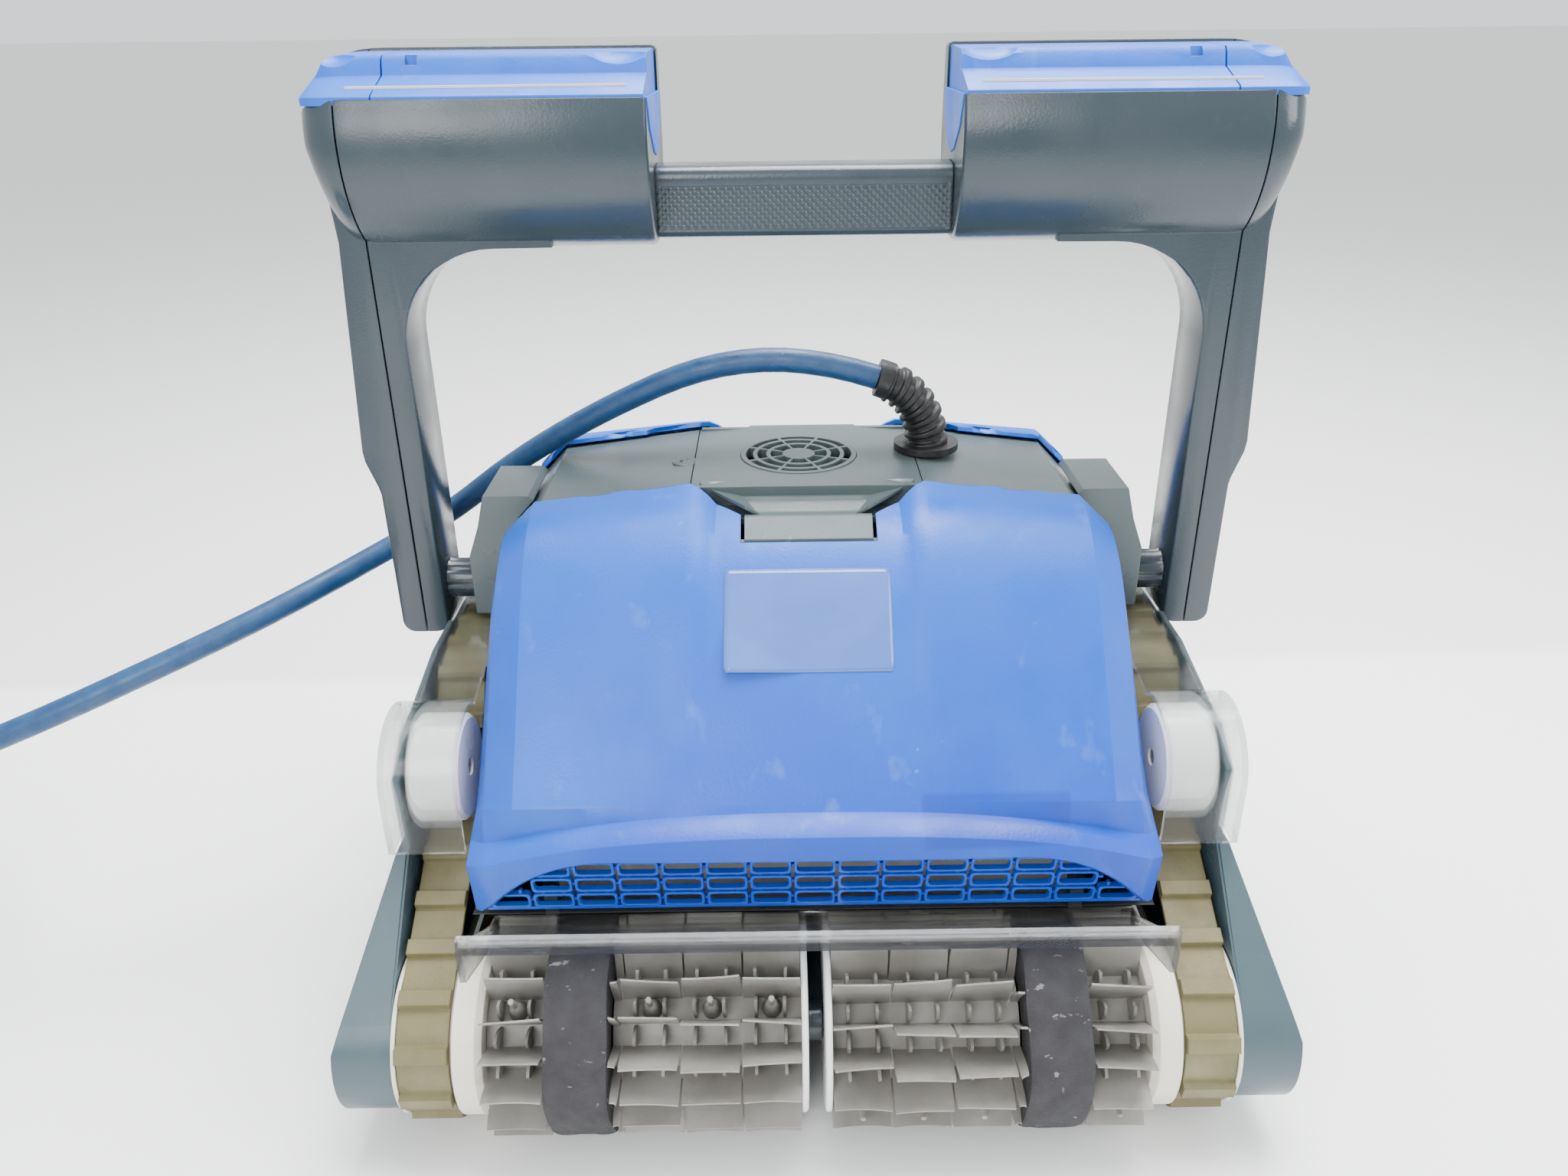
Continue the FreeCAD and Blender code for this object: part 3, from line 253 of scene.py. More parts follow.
def make_looks():
    """Every material, by the name of its slot or of its special use."""
    looks = {
        "chassis_black": moulded("black_moulding", (0.013, 0.014, 0.016), (0.035, 0.038, 0.042), 0.45),
        "grey_shell": moulded("band_grey", (0.058, 0.080, 0.084), (0.09, 0.115, 0.116), 0.3),
        "handle_grey": moulded("handle_grey", (0.021, 0.034, 0.043), (0.040, 0.056, 0.064), 0.21),
        "panel_grey": moulded("panel_grey", (0.038, 0.068, 0.082), (0.075, 0.115, 0.125), 0.32),
        "latch_grey": moulded("latch_grey", (0.055, 0.082, 0.090), (0.26, 0.30, 0.30), 0.4, wear=0.6),
        "blue_lid": blue_plastic("lid_blue"),
        "front_blue": blue_plastic("front_lid_blue", patch=True),
        "clear_plastic": clear_plastic("clear_plastic"),
        "cream_plastic": moulded("cream_moulding", (0.66, 0.63, 0.53), (0.76, 0.74, 0.66), 0.4),
        "roller_white": moulded("white_acetal", (0.83, 0.83, 0.82), (0.72, 0.72, 0.70), 0.3),
        "board_green": moulded("circuit_board", (0.03, 0.16, 0.06), (0.06, 0.24, 0.1), 0.4),
    }
    track = Look("track_rubber", (0.130, 0.112, 0.046), 0.45, 0.0009)
    track.tint((0.22, 0.195, 0.095), track.noise(40, 5, low=0.45, high=0.8), 0.6)
    track.tint((0.10, 0.088, 0.04), track.noise(120, 4, low=0.58, high=0.8), 0.6)
    track.gloss(track.noise(60, 4), 0.42, 0.68).bump(track.noise(500, 3), 0.00006)
    fins = Look("fin_vinyl", (0.20, 0.19, 0.17), 0.36, Subsurface_Weight=0.12, Subsurface_Scale=0.002)
    fins.tint((0.36, 0.35, 0.33), fins.noise(34, 4, low=0.4, high=0.75), 0.6)
    fins.tint((0.14, 0.125, 0.10), fins.noise(75, 5, low=0.6, high=0.85), 0.55)
    fins.gloss(fins.noise(60, 4), 0.34, 0.56).bump(fins.noise(450, 2), 0.00003)
    foam = Look("foam_dark", (0.022, 0.021, 0.024), 0.86)
    foam.tint((0.045, 0.043, 0.049), foam.noise(120, 5), 0.5)
    foam.tint((0.30, 0.295, 0.29), foam.noise(150, 9, (1, 1.6, 1.6), 0.66, 0.70), 0.6)
    foam.bump(foam.noise(1500, 4), 0.00022)
    cable = Look("cable_blue", (0.002, 0.040, 0.125), 0.45, Coat_Weight=0.1, Coat_Roughness=0.35)
    cable.tint((0.012, 0.085, 0.20), cable.noise(130, 5, low=0.4, high=0.8), 0.55)
    cable.tint((0.08, 0.17, 0.27), cable.noise(420, 3, low=0.7, high=0.78), 0.5)
    cable.gloss(cable.noise(90, 4), 0.36, 0.6).bump(cable.noise(800, 3), 0.00005)
    rubber = Look("black_rubber", (0.004, 0.004, 0.0045), 0.5, 0.0004)
    rubber.tint((0.014, 0.014, 0.015), rubber.noise(90, 5), 0.5)
    rubber.gloss(rubber.noise(140, 4), 0.32, 0.6).bump(rubber.noise(900, 3), 0.00004)
    steel = Look("brushed_steel", (0.52, 0.53, 0.54), 0.3, 0.0003, Metallic=1.0)
    steel.tint((0.4, 0.41, 0.42), steel.noise(300, 3, (0.1, 1, 1)), 0.5)
    steel.gloss(steel.noise(300, 3, (0.1, 1, 1)), 0.22, 0.4)
    film = Look("label_film", (0.055, 0.13, 0.44), 0.2, Coat_Weight=0.4, Coat_Roughness=0.12)
    film.tint((0.10, 0.20, 0.50), film.noise(30, 5, low=0.4, high=0.8), 0.5)
    film.bump(film.noise(60, 3), 0.00008)
    looks.update(track_khaki=track, fin_grey=fins, foam_grey=foam, cable_blue=cable, black_rubber=rubber,
                 motor_steel=steel, label_film=film)
    return looks


def dress_frame():
    """Gives every CAD node the look of its slot. The outlet duct and the impeller are black instead."""
    slots = {entry["node"]: entry["material_slot"] for entry in frame["record"]["subparts"]}
    for name, obj in frame["nodes"].items():
        obj.data.materials.clear()
        look = "chassis_black" if name in ("outlet_duct", "impeller") else slots[name]
        obj.data.materials.append(LOOKS[look].material)
        obj.data.shade_smooth()
        obj.data.set_sharp_from_angle(angle=math.radians(28))


# Mesh helpers ---------------------------------------------------------------------------------

def piece(name, shape, body, look, replaces=(), smooth=30, soft=0.0):
    """A Shape that rides on a body. soft is the width of its bevelled edges."""
    return finish_piece(shape.mesh(name), name, body, look, replaces, smooth, soft)


def turn_outward(mesh):
    """Makes the faces of closed forms face outwards."""
    work = bmesh.new()
    work.from_mesh(mesh)
    bmesh.ops.recalc_face_normals(work, faces=work.faces)
    work.to_mesh(mesh)
    work.free()
    return mesh


def finish_piece(mesh, name, body, look, replaces=(), smooth=30, soft=0.0):
    """Gives a mesh its look and body. Edges sharper than smooth degrees stay sharp."""
    turn_outward(mesh)
    mesh.materials.clear()
    mesh.materials.append(LOOKS[look].material)
    mesh.shade_smooth()
    mesh.set_sharp_from_angle(angle=math.radians(smooth))
    obj = add_object(name, mesh)
    if soft:
        bevel = obj.modifiers.new("soft_edges", "BEVEL")
        bevel.width = soft * MM
        bevel.segments = 2
        bevel.limit_method = "ANGLE"
        bevel.angle_limit = math.radians(35)
    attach(obj, body)
    if replaces:
        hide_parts(*replaces)
    return obj


def grid_faces(rows, columns, start=0, wrap=False):
    """Faces of a grid of vertices, row by row. wrap closes each row."""
    faces = []
    for row in range(rows - 1):
        for column in range(columns if wrap else columns - 1):
            beside = (column + 1) % columns
            low = start + row * columns
            faces.append((low + column, low + beside, low + columns + beside, low + columns + column))
    return faces


def slab_faces(rows, columns, start=0):
    """Faces of two equal grids of vertices, one after the other, closed around their rims."""
    half = rows * columns
    faces = grid_faces(rows, columns, start)
    faces += [tuple(reversed(face)) for face in grid_faces(rows, columns, start + half)]
    rim = list(range(columns))
    rim += [row * columns + columns - 1 for row in range(1, rows)]
    rim += [(rows - 1) * columns + column for column in range(columns - 2, -1, -1)]
    rim += [row * columns for row in range(rows - 2, 0, -1)]
    for first, second in zip(rim, rim[1:] + rim[:1]):
        faces.append((start + second, start + first, start + half + first, start + half + second))
    return faces


class Shape:
    """Vertices in millimetres, and faces, of forms that are gathered in one mesh."""

    def __init__(self, verts=(), faces=()):
        self.verts = list(verts)
        self.faces = list(faces)

    def loft(self, rings, caps=True):
        """A closed skin through rings of equal size."""
        start = len(self.verts)
        count = len(rings[0])
        for ring in rings:
            self.verts.extend(ring)
        self.faces.extend(grid_faces(len(rings), count, start, wrap=True))
        if caps:
            self.faces.append(tuple(range(start + count - 1, start - 1, -1)))
            last = start + (len(rings) - 1) * count
            self.faces.append(tuple(range(last, last + count)))
        return self

    def prism(self, outline, low, high, place):
        """An outline of (u, v) between two levels; place turns (u, v, level) into a point."""
        return self.loft([[place(u, v, level) for u, v in outline] for level in (low, high)])

    def block(self, low, high):
        """A box between two corners."""
        outline = [(low[0], low[1]), (high[0], low[1]), (high[0], high[1]), (low[0], high[1])]
        return self.prism(outline, low[2], high[2], lambda u, v, w: (u, v, w))

    def hoop(self, rings):
        """A closed skin through rings of equal size, the last joined to the first."""
        start = len(self.verts)
        count = len(rings[0])
        for ring in rings:
            self.verts.extend(ring)
        for step in range(len(rings)):
            here, there = start + step * count, start + (step + 1) % len(rings) * count
            for place in range(count):
                beside = (place + 1) % count
                self.faces.append((here + place, here + beside, there + beside, there + place))
        return self

    def turned(self, profile, middle, axis="x", steps=64):
        """A closed profile of (distance along the axis, radius), turned about an axis through middle."""
        rings = []
        for step in range(steps):
            angle = 2 * math.pi * step / steps
            ring = []
            for along, radius in profile:
                u, v = radius * math.cos(angle), radius * math.sin(angle)
                offset = (along, u, v) if axis == "x" else (u, v, along)
                ring.append(tuple(m + o for m, o in zip(middle, offset)))
            rings.append(ring)
        return self.hoop(rings)

    def flipped(self, sign):
        """Mirrored to the other side for -1."""
        if sign > 0:
            return self
        self.verts = [(-x, y, z) for x, y, z in self.verts]
        self.faces = [tuple(reversed(face)) for face in self.faces]
        return self

    def rotated(self, sign):
        """Half a turn about Z for -1."""
        if sign < 0:
            self.verts = [(-x, -y, z) for x, y, z in self.verts]
        return self

    def mesh(self, name):
        """The mesh, in metres."""
        mesh = bpy.data.meshes.new(name)
        mesh.from_pydata([Vector(vert) * MM for vert in self.verts], [], self.faces)
        mesh.validate()
        return mesh


def combined(first, second, operation, name):
    """The mesh of two Shapes or meshes, joined or cut by an exact boolean."""
    made = []
    for part in (first, second):
        mesh = part if isinstance(part, bpy.types.Mesh) else turn_outward(part.mesh(name + "_part"))
        made.append(add_object(name + "_part", mesh))
    modifier = made[0].modifiers.new("combine", "BOOLEAN")
    modifier.operation = operation
    modifier.solver = "EXACT"
    modifier.object = made[1]
    graph = bpy.context.evaluated_depsgraph_get()
    result = bpy.data.meshes.new_from_object(made[0].evaluated_get(graph))
    result.name = name
    for obj in made:
        bpy.data.objects.remove(obj)
    return result


def smooth_line(points, rounds=3):
    """Corner cutting that keeps both ends."""
    points = [Vector(point) for point in points]
    for _ in range(rounds):
        cut = [points[0]]
        for first, second in zip(points, points[1:]):
            cut.append(first.lerp(second, 0.25))
            cut.append(first.lerp(second, 0.75))
        points = cut + [points[-1]]
    return points


def arc(middle, radius, start, end, steps):
    """Points (u, v) on an arc between two angles in degrees."""
    made = []
    for step in range(steps + 1):
        angle = math.radians(start + (end - start) * step / steps)
        made.append((middle[0] + radius * math.cos(angle), middle[1] + radius * math.sin(angle)))
    return made


def mirrored(mesh, sign):
    """A mesh of the right-hand side, moved to the left for -1."""
    if sign < 0:
        mesh.transform(Matrix.Scale(-1, 4, (1, 0, 0)))
        mesh.flip_normals()
    return mesh


# Cable ----------------------------------------------------------------------------------------

CORD_DIAMETER = 0.012
CORD_ROUTE = [
    (0.036, 0.010, 0.291),
    (0.006, 0.012, 0.3005),
    (-0.046, 0.016, 0.298),
    (-0.100, 0.025, 0.273),
    (-0.152, 0.042, 0.240),
    (-0.192, 0.045, 0.209),
    (-0.232, 0.026, 0.191),
    (-0.270, -0.009, 0.179),
    (-0.318, -0.038, 0.164),
    (-0.378, -0.060, 0.143),
    (-0.438, -0.067, 0.121),
    (-0.492, -0.061, 0.098),
    (-0.541, -0.049, 0.077),
]
COIL_MIDDLE = Vector((-0.580, -0.130, 0))
COIL_RADII = (0.086, 0.098, 0.110, 0.122, 0.1339)
COIL_LEVELS = (0.054, 0.042, 0.030, 0.018, 0.006)
COIL_STEPS = 16
COIL_START, COIL_LAST_TURN = math.radians(98), math.radians(172)
STEP_ON = 0.8
PLUG_START = Vector((-0.518, -0.264, 0.016))


def coil_points():
    """Five layers of five turns, outwards and inwards in turn, ending in the outer turn on the floor.

    A turn keeps its radius and height up to STEP_ON of its way, and then moves to the next one's.
    """
    shrink = math.cos(math.pi / COIL_STEPS)
    turns = []
    for layer, level in enumerate(COIL_LEVELS):
        radii = COIL_RADII if layer % 2 == 0 else COIL_RADII[::-1]
        turns.extend((radius, level) for radius in radii)
    points = []
    last_angle = COIL_START + 2 * math.pi * (len(turns) - 1) + COIL_LAST_TURN
    step_angle = 2 * math.pi / COIL_STEPS
    angle = COIL_START
    while angle < last_angle - 0.3 * step_angle:
        turn, part = divmod((angle - COIL_START) / (2 * math.pi), 1)
        radius, level = turns[int(turn)]
        onward = turns[min(int(turn) + 1, len(turns) - 1)]
        shift = max(0.0, (part - STEP_ON) / 0.2)
        radius += (onward[0] - radius) * shift
        level += (onward[1] - level) * shift
        points.append(COIL_MIDDLE + Vector((radius / shrink * math.cos(angle),
                                            radius / shrink * math.sin(angle), level)))
        angle += step_angle
    return points


def make_cord():
    """The cable on one smooth line: over the machine, round its coil and into the plug."""
    points = [Vector(point) for point in CORD_ROUTE] + coil_points()
    leave = COIL_MIDDLE + Vector((0.004, -COIL_RADII[-1], COIL_LEVELS[-1]))
    points.append(leave)
    points.append(leave + Vector((0.020, 0, 0.001)))
    points.append(PLUG_START - Vector((0.020, 0, 0.002)))
    points.append(PLUG_START)
    points.append(PLUG_START + Vector((0.012, 0, 0)))
    curve = bpy.data.curves.new("cord", "CURVE")
    curve.dimensions = "3D"
    curve.bevel_depth = CORD_DIAMETER / 2
    curve.bevel_resolution = 5
    curve.resolution_u = 5
    curve.use_fill_caps = True
    spline = curve.splines.new("NURBS")
    spline.points.add(len(points) - 1)
    for slot, point in zip(spline.points, points):
        slot.co = (*point, 1)
    spline.order_u = 3
    spline.use_endpoint_u = True
    curve.materials.append(LOOKS["cable_blue"].material)
    cord = add_object("floating_cable", curve)
    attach(cord, "chassis")
    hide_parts("cord_tube", "cord_coil")
    return cord


def make_plug():
    """A round moulded plug: ribbed boot, barrel with grip rings and a coupling collar."""
    profile = [(0, 6.2), (2, 7.4), (20, 9.4), (22, 12), (26, 15), (52, 15), (53, 16), (68, 16), (69, 15),
               (86, 15), (88, 13.5), (88, 11), (72, 11), (72, 0.2), (0, 0.2)]
    middle = PLUG_START / MM
    shape = Shape().turned(profile, middle)
    for index in range(5):
        along = 3 + index * 3.6
        radius = 8.1 + index * 0.42
        shape.turned([(along, radius - 1.5), (along, radius + 0.7), (along + 1.6, radius + 0.9),
                      (along + 1.6, radius - 1.5)], middle, steps=40)
    for index in range(18):
        angle = 2 * math.pi * index / 18
        turn = Matrix.Rotation(angle, 3, "X")
        rib = [(28, 14.4, -0.7), (50, 14.4, -0.7), (50, 14.4, 0.7), (28, 14.4, 0.7)]
        rings = [[tuple(turn @ Vector((x, y + lift, z)) + middle) for x, y, z in rib] for lift in (0, 1.4)]
        shape.loft(rings)
    return piece("cable_plug", shape, "chassis", "black_rubber", replaces=["cord_plug"], soft=0.3)


def make_strain_relief():
    """A tapered black sleeve with a spiral rib, bent over to the left."""
    start, end = Vector((61, 10, 258.2)), Vector(CORD_ROUTE[0]) / MM
    shift, rise = start.x - end.x, end.z - start.z
    bend = (rise ** 2 + shift ** 2) / (2 * shift)
    turn = math.asin(rise / bend)
    rings = []
    steps, count, coils = 120, 40, 7.0
    side = Vector((0, 1, 0))
    for step in range(steps + 1):
        along = step / steps
        angle = turn * along
        middle = Vector((start.x - bend * (1 - math.cos(angle)), start.y, start.z + bend * math.sin(angle)))
        outward = Vector((math.cos(angle), 0, math.sin(angle)))
        ring = []
        for index in range(count):
            around = 2 * math.pi * index / count
            wave = math.sin(2 * math.pi * coils * along - around)
            rib = 1.9 * max(0.0, min(1.0, wave * 1.6 + 0.3)) if along < 0.86 else 1.3
            radius = 8.9 - 1.0 * along + rib
            offset = outward * (radius * math.cos(around)) + side * (radius * math.sin(around))
            ring.append(tuple(middle + offset))
        rings.append(ring)
    piece("strain_relief", Shape().loft(rings), "chassis", "black_rubber",
          replaces=["cable_strain_relief"], smooth=50)


# Filter lids ----------------------------------------------------------------------------------

LID_TOP = [(45.6, 255.6), (66, 250.5), (88, 234), (112, 203.5), (135, 172), (150, 153.5)]
LID_HALF = 144.6
LID_BACK = 45.6
CROWN_DROP = 8.6
SHELL_DROP = [(0, 0), (55, 0), (125, CROWN_DROP), (138, 22), (LID_HALF, 50)]
LIP_END = 143
LIP_LOW, LIP_RISE = 106.5, 32.5
GRILLE_FOOT = (151.5, 104)


def drop_at(x):
    """How far the section's edge falls below its crown, at a distance from the middle."""
    x = abs(x)
    for (x0, d0), (x1, d1) in zip(SHELL_DROP, SHELL_DROP[1:]):
        if x <= x1:
            return d0 + (d1 - d0) * (x - x0) / (x1 - x0)
    return SHELL_DROP[-1][1]


def lip_foot(x):
    """The lower edge of the lip, an arch over the grille that curves down to its ends."""
    inward = min(1.0, max(0.0, LIP_END - abs(x)) / 68)
    return LIP_LOW + LIP_RISE * (1 - (1 - inward) ** 2.8)


def lip_dip(x):
    """How far the lip's top line falls towards its ends."""
    return 17 * (abs(x) / LID_HALF) ** 2.8


def lip_back(x):
    """How far the lip's front steps back towards its ends."""
    return 3.2 * (abs(x) / LID_HALF) ** 3 + max(0.0, abs(x) - 137) ** 1.5 * 0.2


def lid_columns():
    """Places across the lid, closer together at its corners."""
    corner = [122, 125, 128, 131.5, 135, 138, 140, 142.5, LID_HALF]
    return [-x for x in reversed(corner)] + list(range(-118, 119, 4)) + corner


def lid_rows():
    """Profile points (distance to the front, height) with their outward normals."""
    line = smooth_line([(d, z, 0) for d, z in LID_TOP], 3)
    rows = []
    for index, point in enumerate(line):
        before, after = line[max(index - 1, 0)], line[min(index + 1, len(line) - 1)]
        along = (after - before).normalized()
        rows.append((point.x, point.y, -along.y, along.x))
    return rows


def lid_skin():
    """The outer skin: crown with its sunken middle, rounded corners, and the lip with its curved ends."""
    columns = lid_columns()
    rows = lid_rows()
    verts = []
    for index, (d, z, nd, nz) in enumerate(rows):
        down = index / (len(rows) - 1)
        for x in columns:
            slope = min(drop_at(x), CROWN_DROP) * (1 - down) ** 1.3
            corner = max(0.0, drop_at(x) - CROWN_DROP) * (1 - 0.45 * down)
            edge = 41 + 3 * down
            side = max(0.0, min(1.0, (abs(x) - edge) / 8))
            hollow = 6.0 * (1 - side * side * (3 - 2 * side)) * max(0.0, 1 - down / 0.72) ** 1.1
            fall = slope + corner + hollow
            verts.append((x, -max(d - nd * fall, LID_BACK), z - nz * fall))
    lip = [(153.5, 150.6), (159.5, 149.4), (163.6, 147.0)]
    foot = [(165.3, 0), (163.6, -1.2), (158.0, -0.6)]
    for d, z in lip:
        for x in columns:
            verts.append((x, -(d - lip_back(x)), z - lip_dip(x)))
    for d, lift in foot:
        for x in columns:
            sink = (LIP_LOW + LIP_RISE - lip_foot(x)) / LIP_RISE
            verts.append((x, -(d - lip_back(x) - 4.5 * sink), lip_foot(x) + lift))
    return Shape(verts, grid_faces(len(rows) + len(lip) + len(foot), len(columns)))


def lid_notch():
    """The cut for the tongue and the latch."""
    outline = [(-55, -40), (-54.6, -45.4), (-30.2, -62.8), (-30.2, -77), (30.2, -77), (30.2, -62.8),
               (54.6, -45.4), (55, -40)]
    return Shape().prism(outline, 225, 270, lambda u, v, w: (u, v, w))


def lid_cheeks():
    """Flat side walls that close the lid below the edges of its skin."""
    columns = len(lid_columns())
    edge = [(-y, z) for _, y, z in lid_skin().verts[columns - 1::columns][:-2]]
    outline = edge + [(edge[-1][0] - 4, 105), (45.8, 105)]
    shape = Shape()
    for sign in (-1, 1):
        shape.prism(outline, 142.4, 144.5, lambda u, v, w: (sign * w, -u, v))
    return shape


def rounded_cell(width, height, corner, steps=3):
    """The outline of a rectangle with round corners, about its middle."""
    points = []
    for u, v, start in ((1, 1, 0), (-1, 1, 90), (-1, -1, 180), (1, -1, 270)):
        middle = (u * (width / 2 - corner), v * (height / 2 - corner))
        points.extend(arc(middle, corner, start, start + 90, steps))
    return points


def lid_grille():
    """Three rows of rounded rectangular frames joined by small bars, on the slope under the lip."""
    shape = Shape()
    foot, low = GRILLE_FOOT
    lean = (157.0 - foot) / (136.5 - low)
    pitch, tall = 18.6, 9.4
    frame_rings = ((17.4, 8.2, 1.7, 0), (17.4, 8.2, 1.7, 3.4), (15.0, 5.8, 1.7, 3.4), (15.0, 5.8, 1.2, 0))

    def place(u, v, level):
        return (u, -(foot + (v - low) * lean + level), v)

    def bar(left, right, bottom, top):
        shape.prism([(left, bottom), (right, bottom), (right, top), (left, top)], 0.4, 2.4, place)

    for row in range(3):
        middle_z = 109.6 + row * tall
        reach = 139 - row * 7.5
        for column in range(-7, 8):
            middle_x = column * pitch
            if abs(middle_x) + 8 > reach:
                continue
            rings = []
            for width, height, corner, level in frame_rings:
                cell = rounded_cell(width, height, corner)
                rings.append([place(middle_x + u, middle_z + v, level) for u, v in cell])
            shape.loft(rings + rings[:1], caps=False)
            bar(middle_x + 8.4, middle_x + 11.2, middle_z - 0.7, middle_z + 0.7)
            if row < 2:
                for side in (-4.5, 4.5):
                    bar(middle_x + side - 0.7, middle_x + side + 0.7, middle_z + 3.8, middle_z + 6)
    shape.prism([(-141, 104), (141, 104), (141, 105.6), (-141, 105.6)], -0.5, 3.0, place)
    return shape


def make_lid(label, sign, look):
    """Front lid for -1. The rear one is turned half round. The label is its CAD node's, with _shell."""
    shell = add_object(label + "_skin", lid_skin().mesh(label))
    wall = shell.modifiers.new("wall", "SOLIDIFY")
    wall.thickness = 2.4 * MM
    wall.offset = -1
    graph = bpy.context.evaluated_depsgraph_get()
    solid = bpy.data.meshes.new_from_object(shell.evaluated_get(graph))
    bpy.data.objects.remove(shell)
    carved = combined(solid, lid_notch(), "DIFFERENCE", label)
    carved.transform(Matrix.Rotation(math.pi if sign > 0 else 0, 4, "Z"))
    body = label.split("_")[0] + "_lid"
    skin = finish_piece(carved, label, body, look, [label.removesuffix("_shell")], smooth=24)
    for name, shape in (("_cheeks", lid_cheeks()), ("_grille", lid_grille())):
        piece(label + name, shape.rotated(-sign), body, "blue_lid", soft=0.25)
    return skin


def make_label(lid):
    """A blank film laid on the front lid's skin, with its corners rounded and one of them lifted."""
    tree = BVHTree.FromPolygons([vert.co for vert in lid.data.vertices],
                                [tuple(face.vertices) for face in lid.data.polygons])
    columns, rows = 29, 23
    slope = Vector((0, -0.79, 0.61))
    clearance = 0.00035
    verts = []
    for row in range(rows):
        for column in range(columns):
            u, v = column / (columns - 1), row / (rows - 1)
            corner = max(abs(2 * u - 1) - 0.93, 0) / 0.07
            u += 0.012 * corner ** 2 * (abs(2 * v - 1) > 0.96) * (1 if u < 0.5 else -1)
            point = Vector((-37.4 + 72.6 * u, -87.4 - 28.8 * v, 233.2 - 35.8 * v)) * MM
            hit = tree.ray_cast(point + slope * 0.05, -slope)[0]
            lifted = max(0.0, (0.24 - u) + (v - 0.78)) * 7 * MM
            verts.append((hit + slope * (clearance + lifted)) / MM)
    film = Shape(verts, grid_faces(rows, columns))
    label = piece("blank_label", film, "front_lid", "label_film", smooth=60)
    sheet = label.modifiers.new("thickness", "SOLIDIFY")
    sheet.thickness = 0.25 * MM


# Top cover ------------------------------------------------------------------------------------

def make_tongue():
    """The sunken slope from the outlet down to the latch, between two light facets."""
    rows, columns = 15, 25
    top, thickness = 255.4, 1.6
    verts = []
    for row in range(rows):
        v = row / (rows - 1)
        y = -36.0 - 26.0 * v
        wide = 50.0 - 21.5 * max(0.0, (v - 0.10) / 0.90)
        floor = top - 8.4 * min(1.0, v * 1.35) ** 0.8
        rim = top - 2.6 * v
        for column in range(columns):
            u = 2 * column / (columns - 1) - 1
            side = max(0.0, (abs(u) - 0.66) / 0.34)
            verts.append((wide * u, y, floor + (rim - floor) * side))
    verts += [(x, y, z - thickness) for x, y, z in verts]
    piece("cover_tongue", Shape(verts, slab_faces(rows, columns)), "chassis", "grey_shell", smooth=20)


def make_cover_boss():
    """A small screw boss with a dark hole, beside the outlet."""
    middle = (-59, -3, 252.6)
    ring = [(0, 2.6), (0.9, 2.6), (1.35, 3.1), (1.35, 5.6), (1.0, 6.3), (0, 6.3)]
    screw = [(0, 0.3), (0.5, 0.3), (0.55, 1.0), (0.8, 1.2), (0.8, 2.5), (0, 2.6)]
    piece("cover_boss", Shape().turned(ring, middle, "z", 40), "chassis", "grey_shell", smooth=40)
    piece("cover_boss_screw", Shape().turned(screw, middle, "z", 32), "chassis", "black_rubber", smooth=40)


# Handle ---------------------------------------------------------------------------------------

SEAM_X, SEAM_HALF = 193.5, 0.4
SHOULDER_MIDDLE_Z = 398
PIVOT_Z = 191
SHOULDER_FRONT = [(-33.2, 421.2), (-36.4, 411), (-37.0, 399), (-35.4, 388), (-31.5, 378), (-25.5, 369),
                  (-18.5, 362), (-10, 358.8)]
SHOULDER_REAR = [(10, 358.8), (18.5, 362), (25.5, 369), (31.5, 378), (35.4, 388), (37.0, 399), (36.8, 415),
                 (35.0, 436)]


def shoulder_section():
    """The shoulder's outline (y, z): a rounded belly, open at the top for the blue lid."""
    front = smooth_line([(y, z, 0) for y, z in SHOULDER_FRONT], 2)
    rear = smooth_line([(y, z, 0) for y, z in SHOULDER_REAR], 2)
    ring = [(point.x, point.y) for point in front + rear]
    return ring + [(34.2, 439.6), (26, 439.8), (25, 437.5), (24.6, 420.5), (-30, 419.8), (-32.2, 420.8)]


def make_shoulder():
    """A float shoulder of the right side, from the grip out to its rounded end."""
    section = shoulder_section()
    rings = []
    for x, inset in ((65.4, 1.6), (66.2, 0.5), (67.6, 0)):
        rings.append([(x, y * (1 - inset / 37),
                       SHOULDER_MIDDLE_Z + (z - SHOULDER_MIDDLE_Z) * (1 - inset / 40)) for y, z in section])
    steps = 14
    for step in range(steps + 1):
        share = step / steps * 0.985
        size = (1 - share ** 3.2) ** (1 / 3.2)
        ring = []
        for y, z in section:
            x = 184 + 29.4 * share
            x -= max(0.0, 404 - z) * 0.16 * share
            height = (z - SHOULDER_MIDDLE_Z) * (0.35 + 0.65 * size)
            ring.append((x, y * size, SHOULDER_MIDDLE_Z + height))
        rings.append(ring)
    return Shape().loft(rings)


def make_arm():
    """The right arm: foot, lower step on the outside, and the arch under the shoulder."""
    outline = [(182.4, 180)] + arc((188.4, 174), 6, 180, 270, 5) + arc((200, 174), 6, 270, 360, 5)
    outline += [(206.2, 243), (207.0, 247), (211.4, 260), (212.0, 265), (207.5, 345), (206.5, 362),
                (208, 384), (205, 396), (196, 398)]
    outline += [(116, 374), (112, 359.2)] + arc((138.4, 315), 44, 90, 0, 12)
    rings = []
    for y, inset in ((-18, 1.6), (-17.4, 0.6), (-16, 0), (16, 0), (17.4, 0.6), (18, 1.6)):
        ring = []
        for u, v in outline:
            u += inset if u < 190 and v < 350 else (-inset if u > 192 else 0)
            v += inset if v < 180 else 0
            ring.append((u, y, v))
        rings.append(ring)
    return Shape().loft(rings)


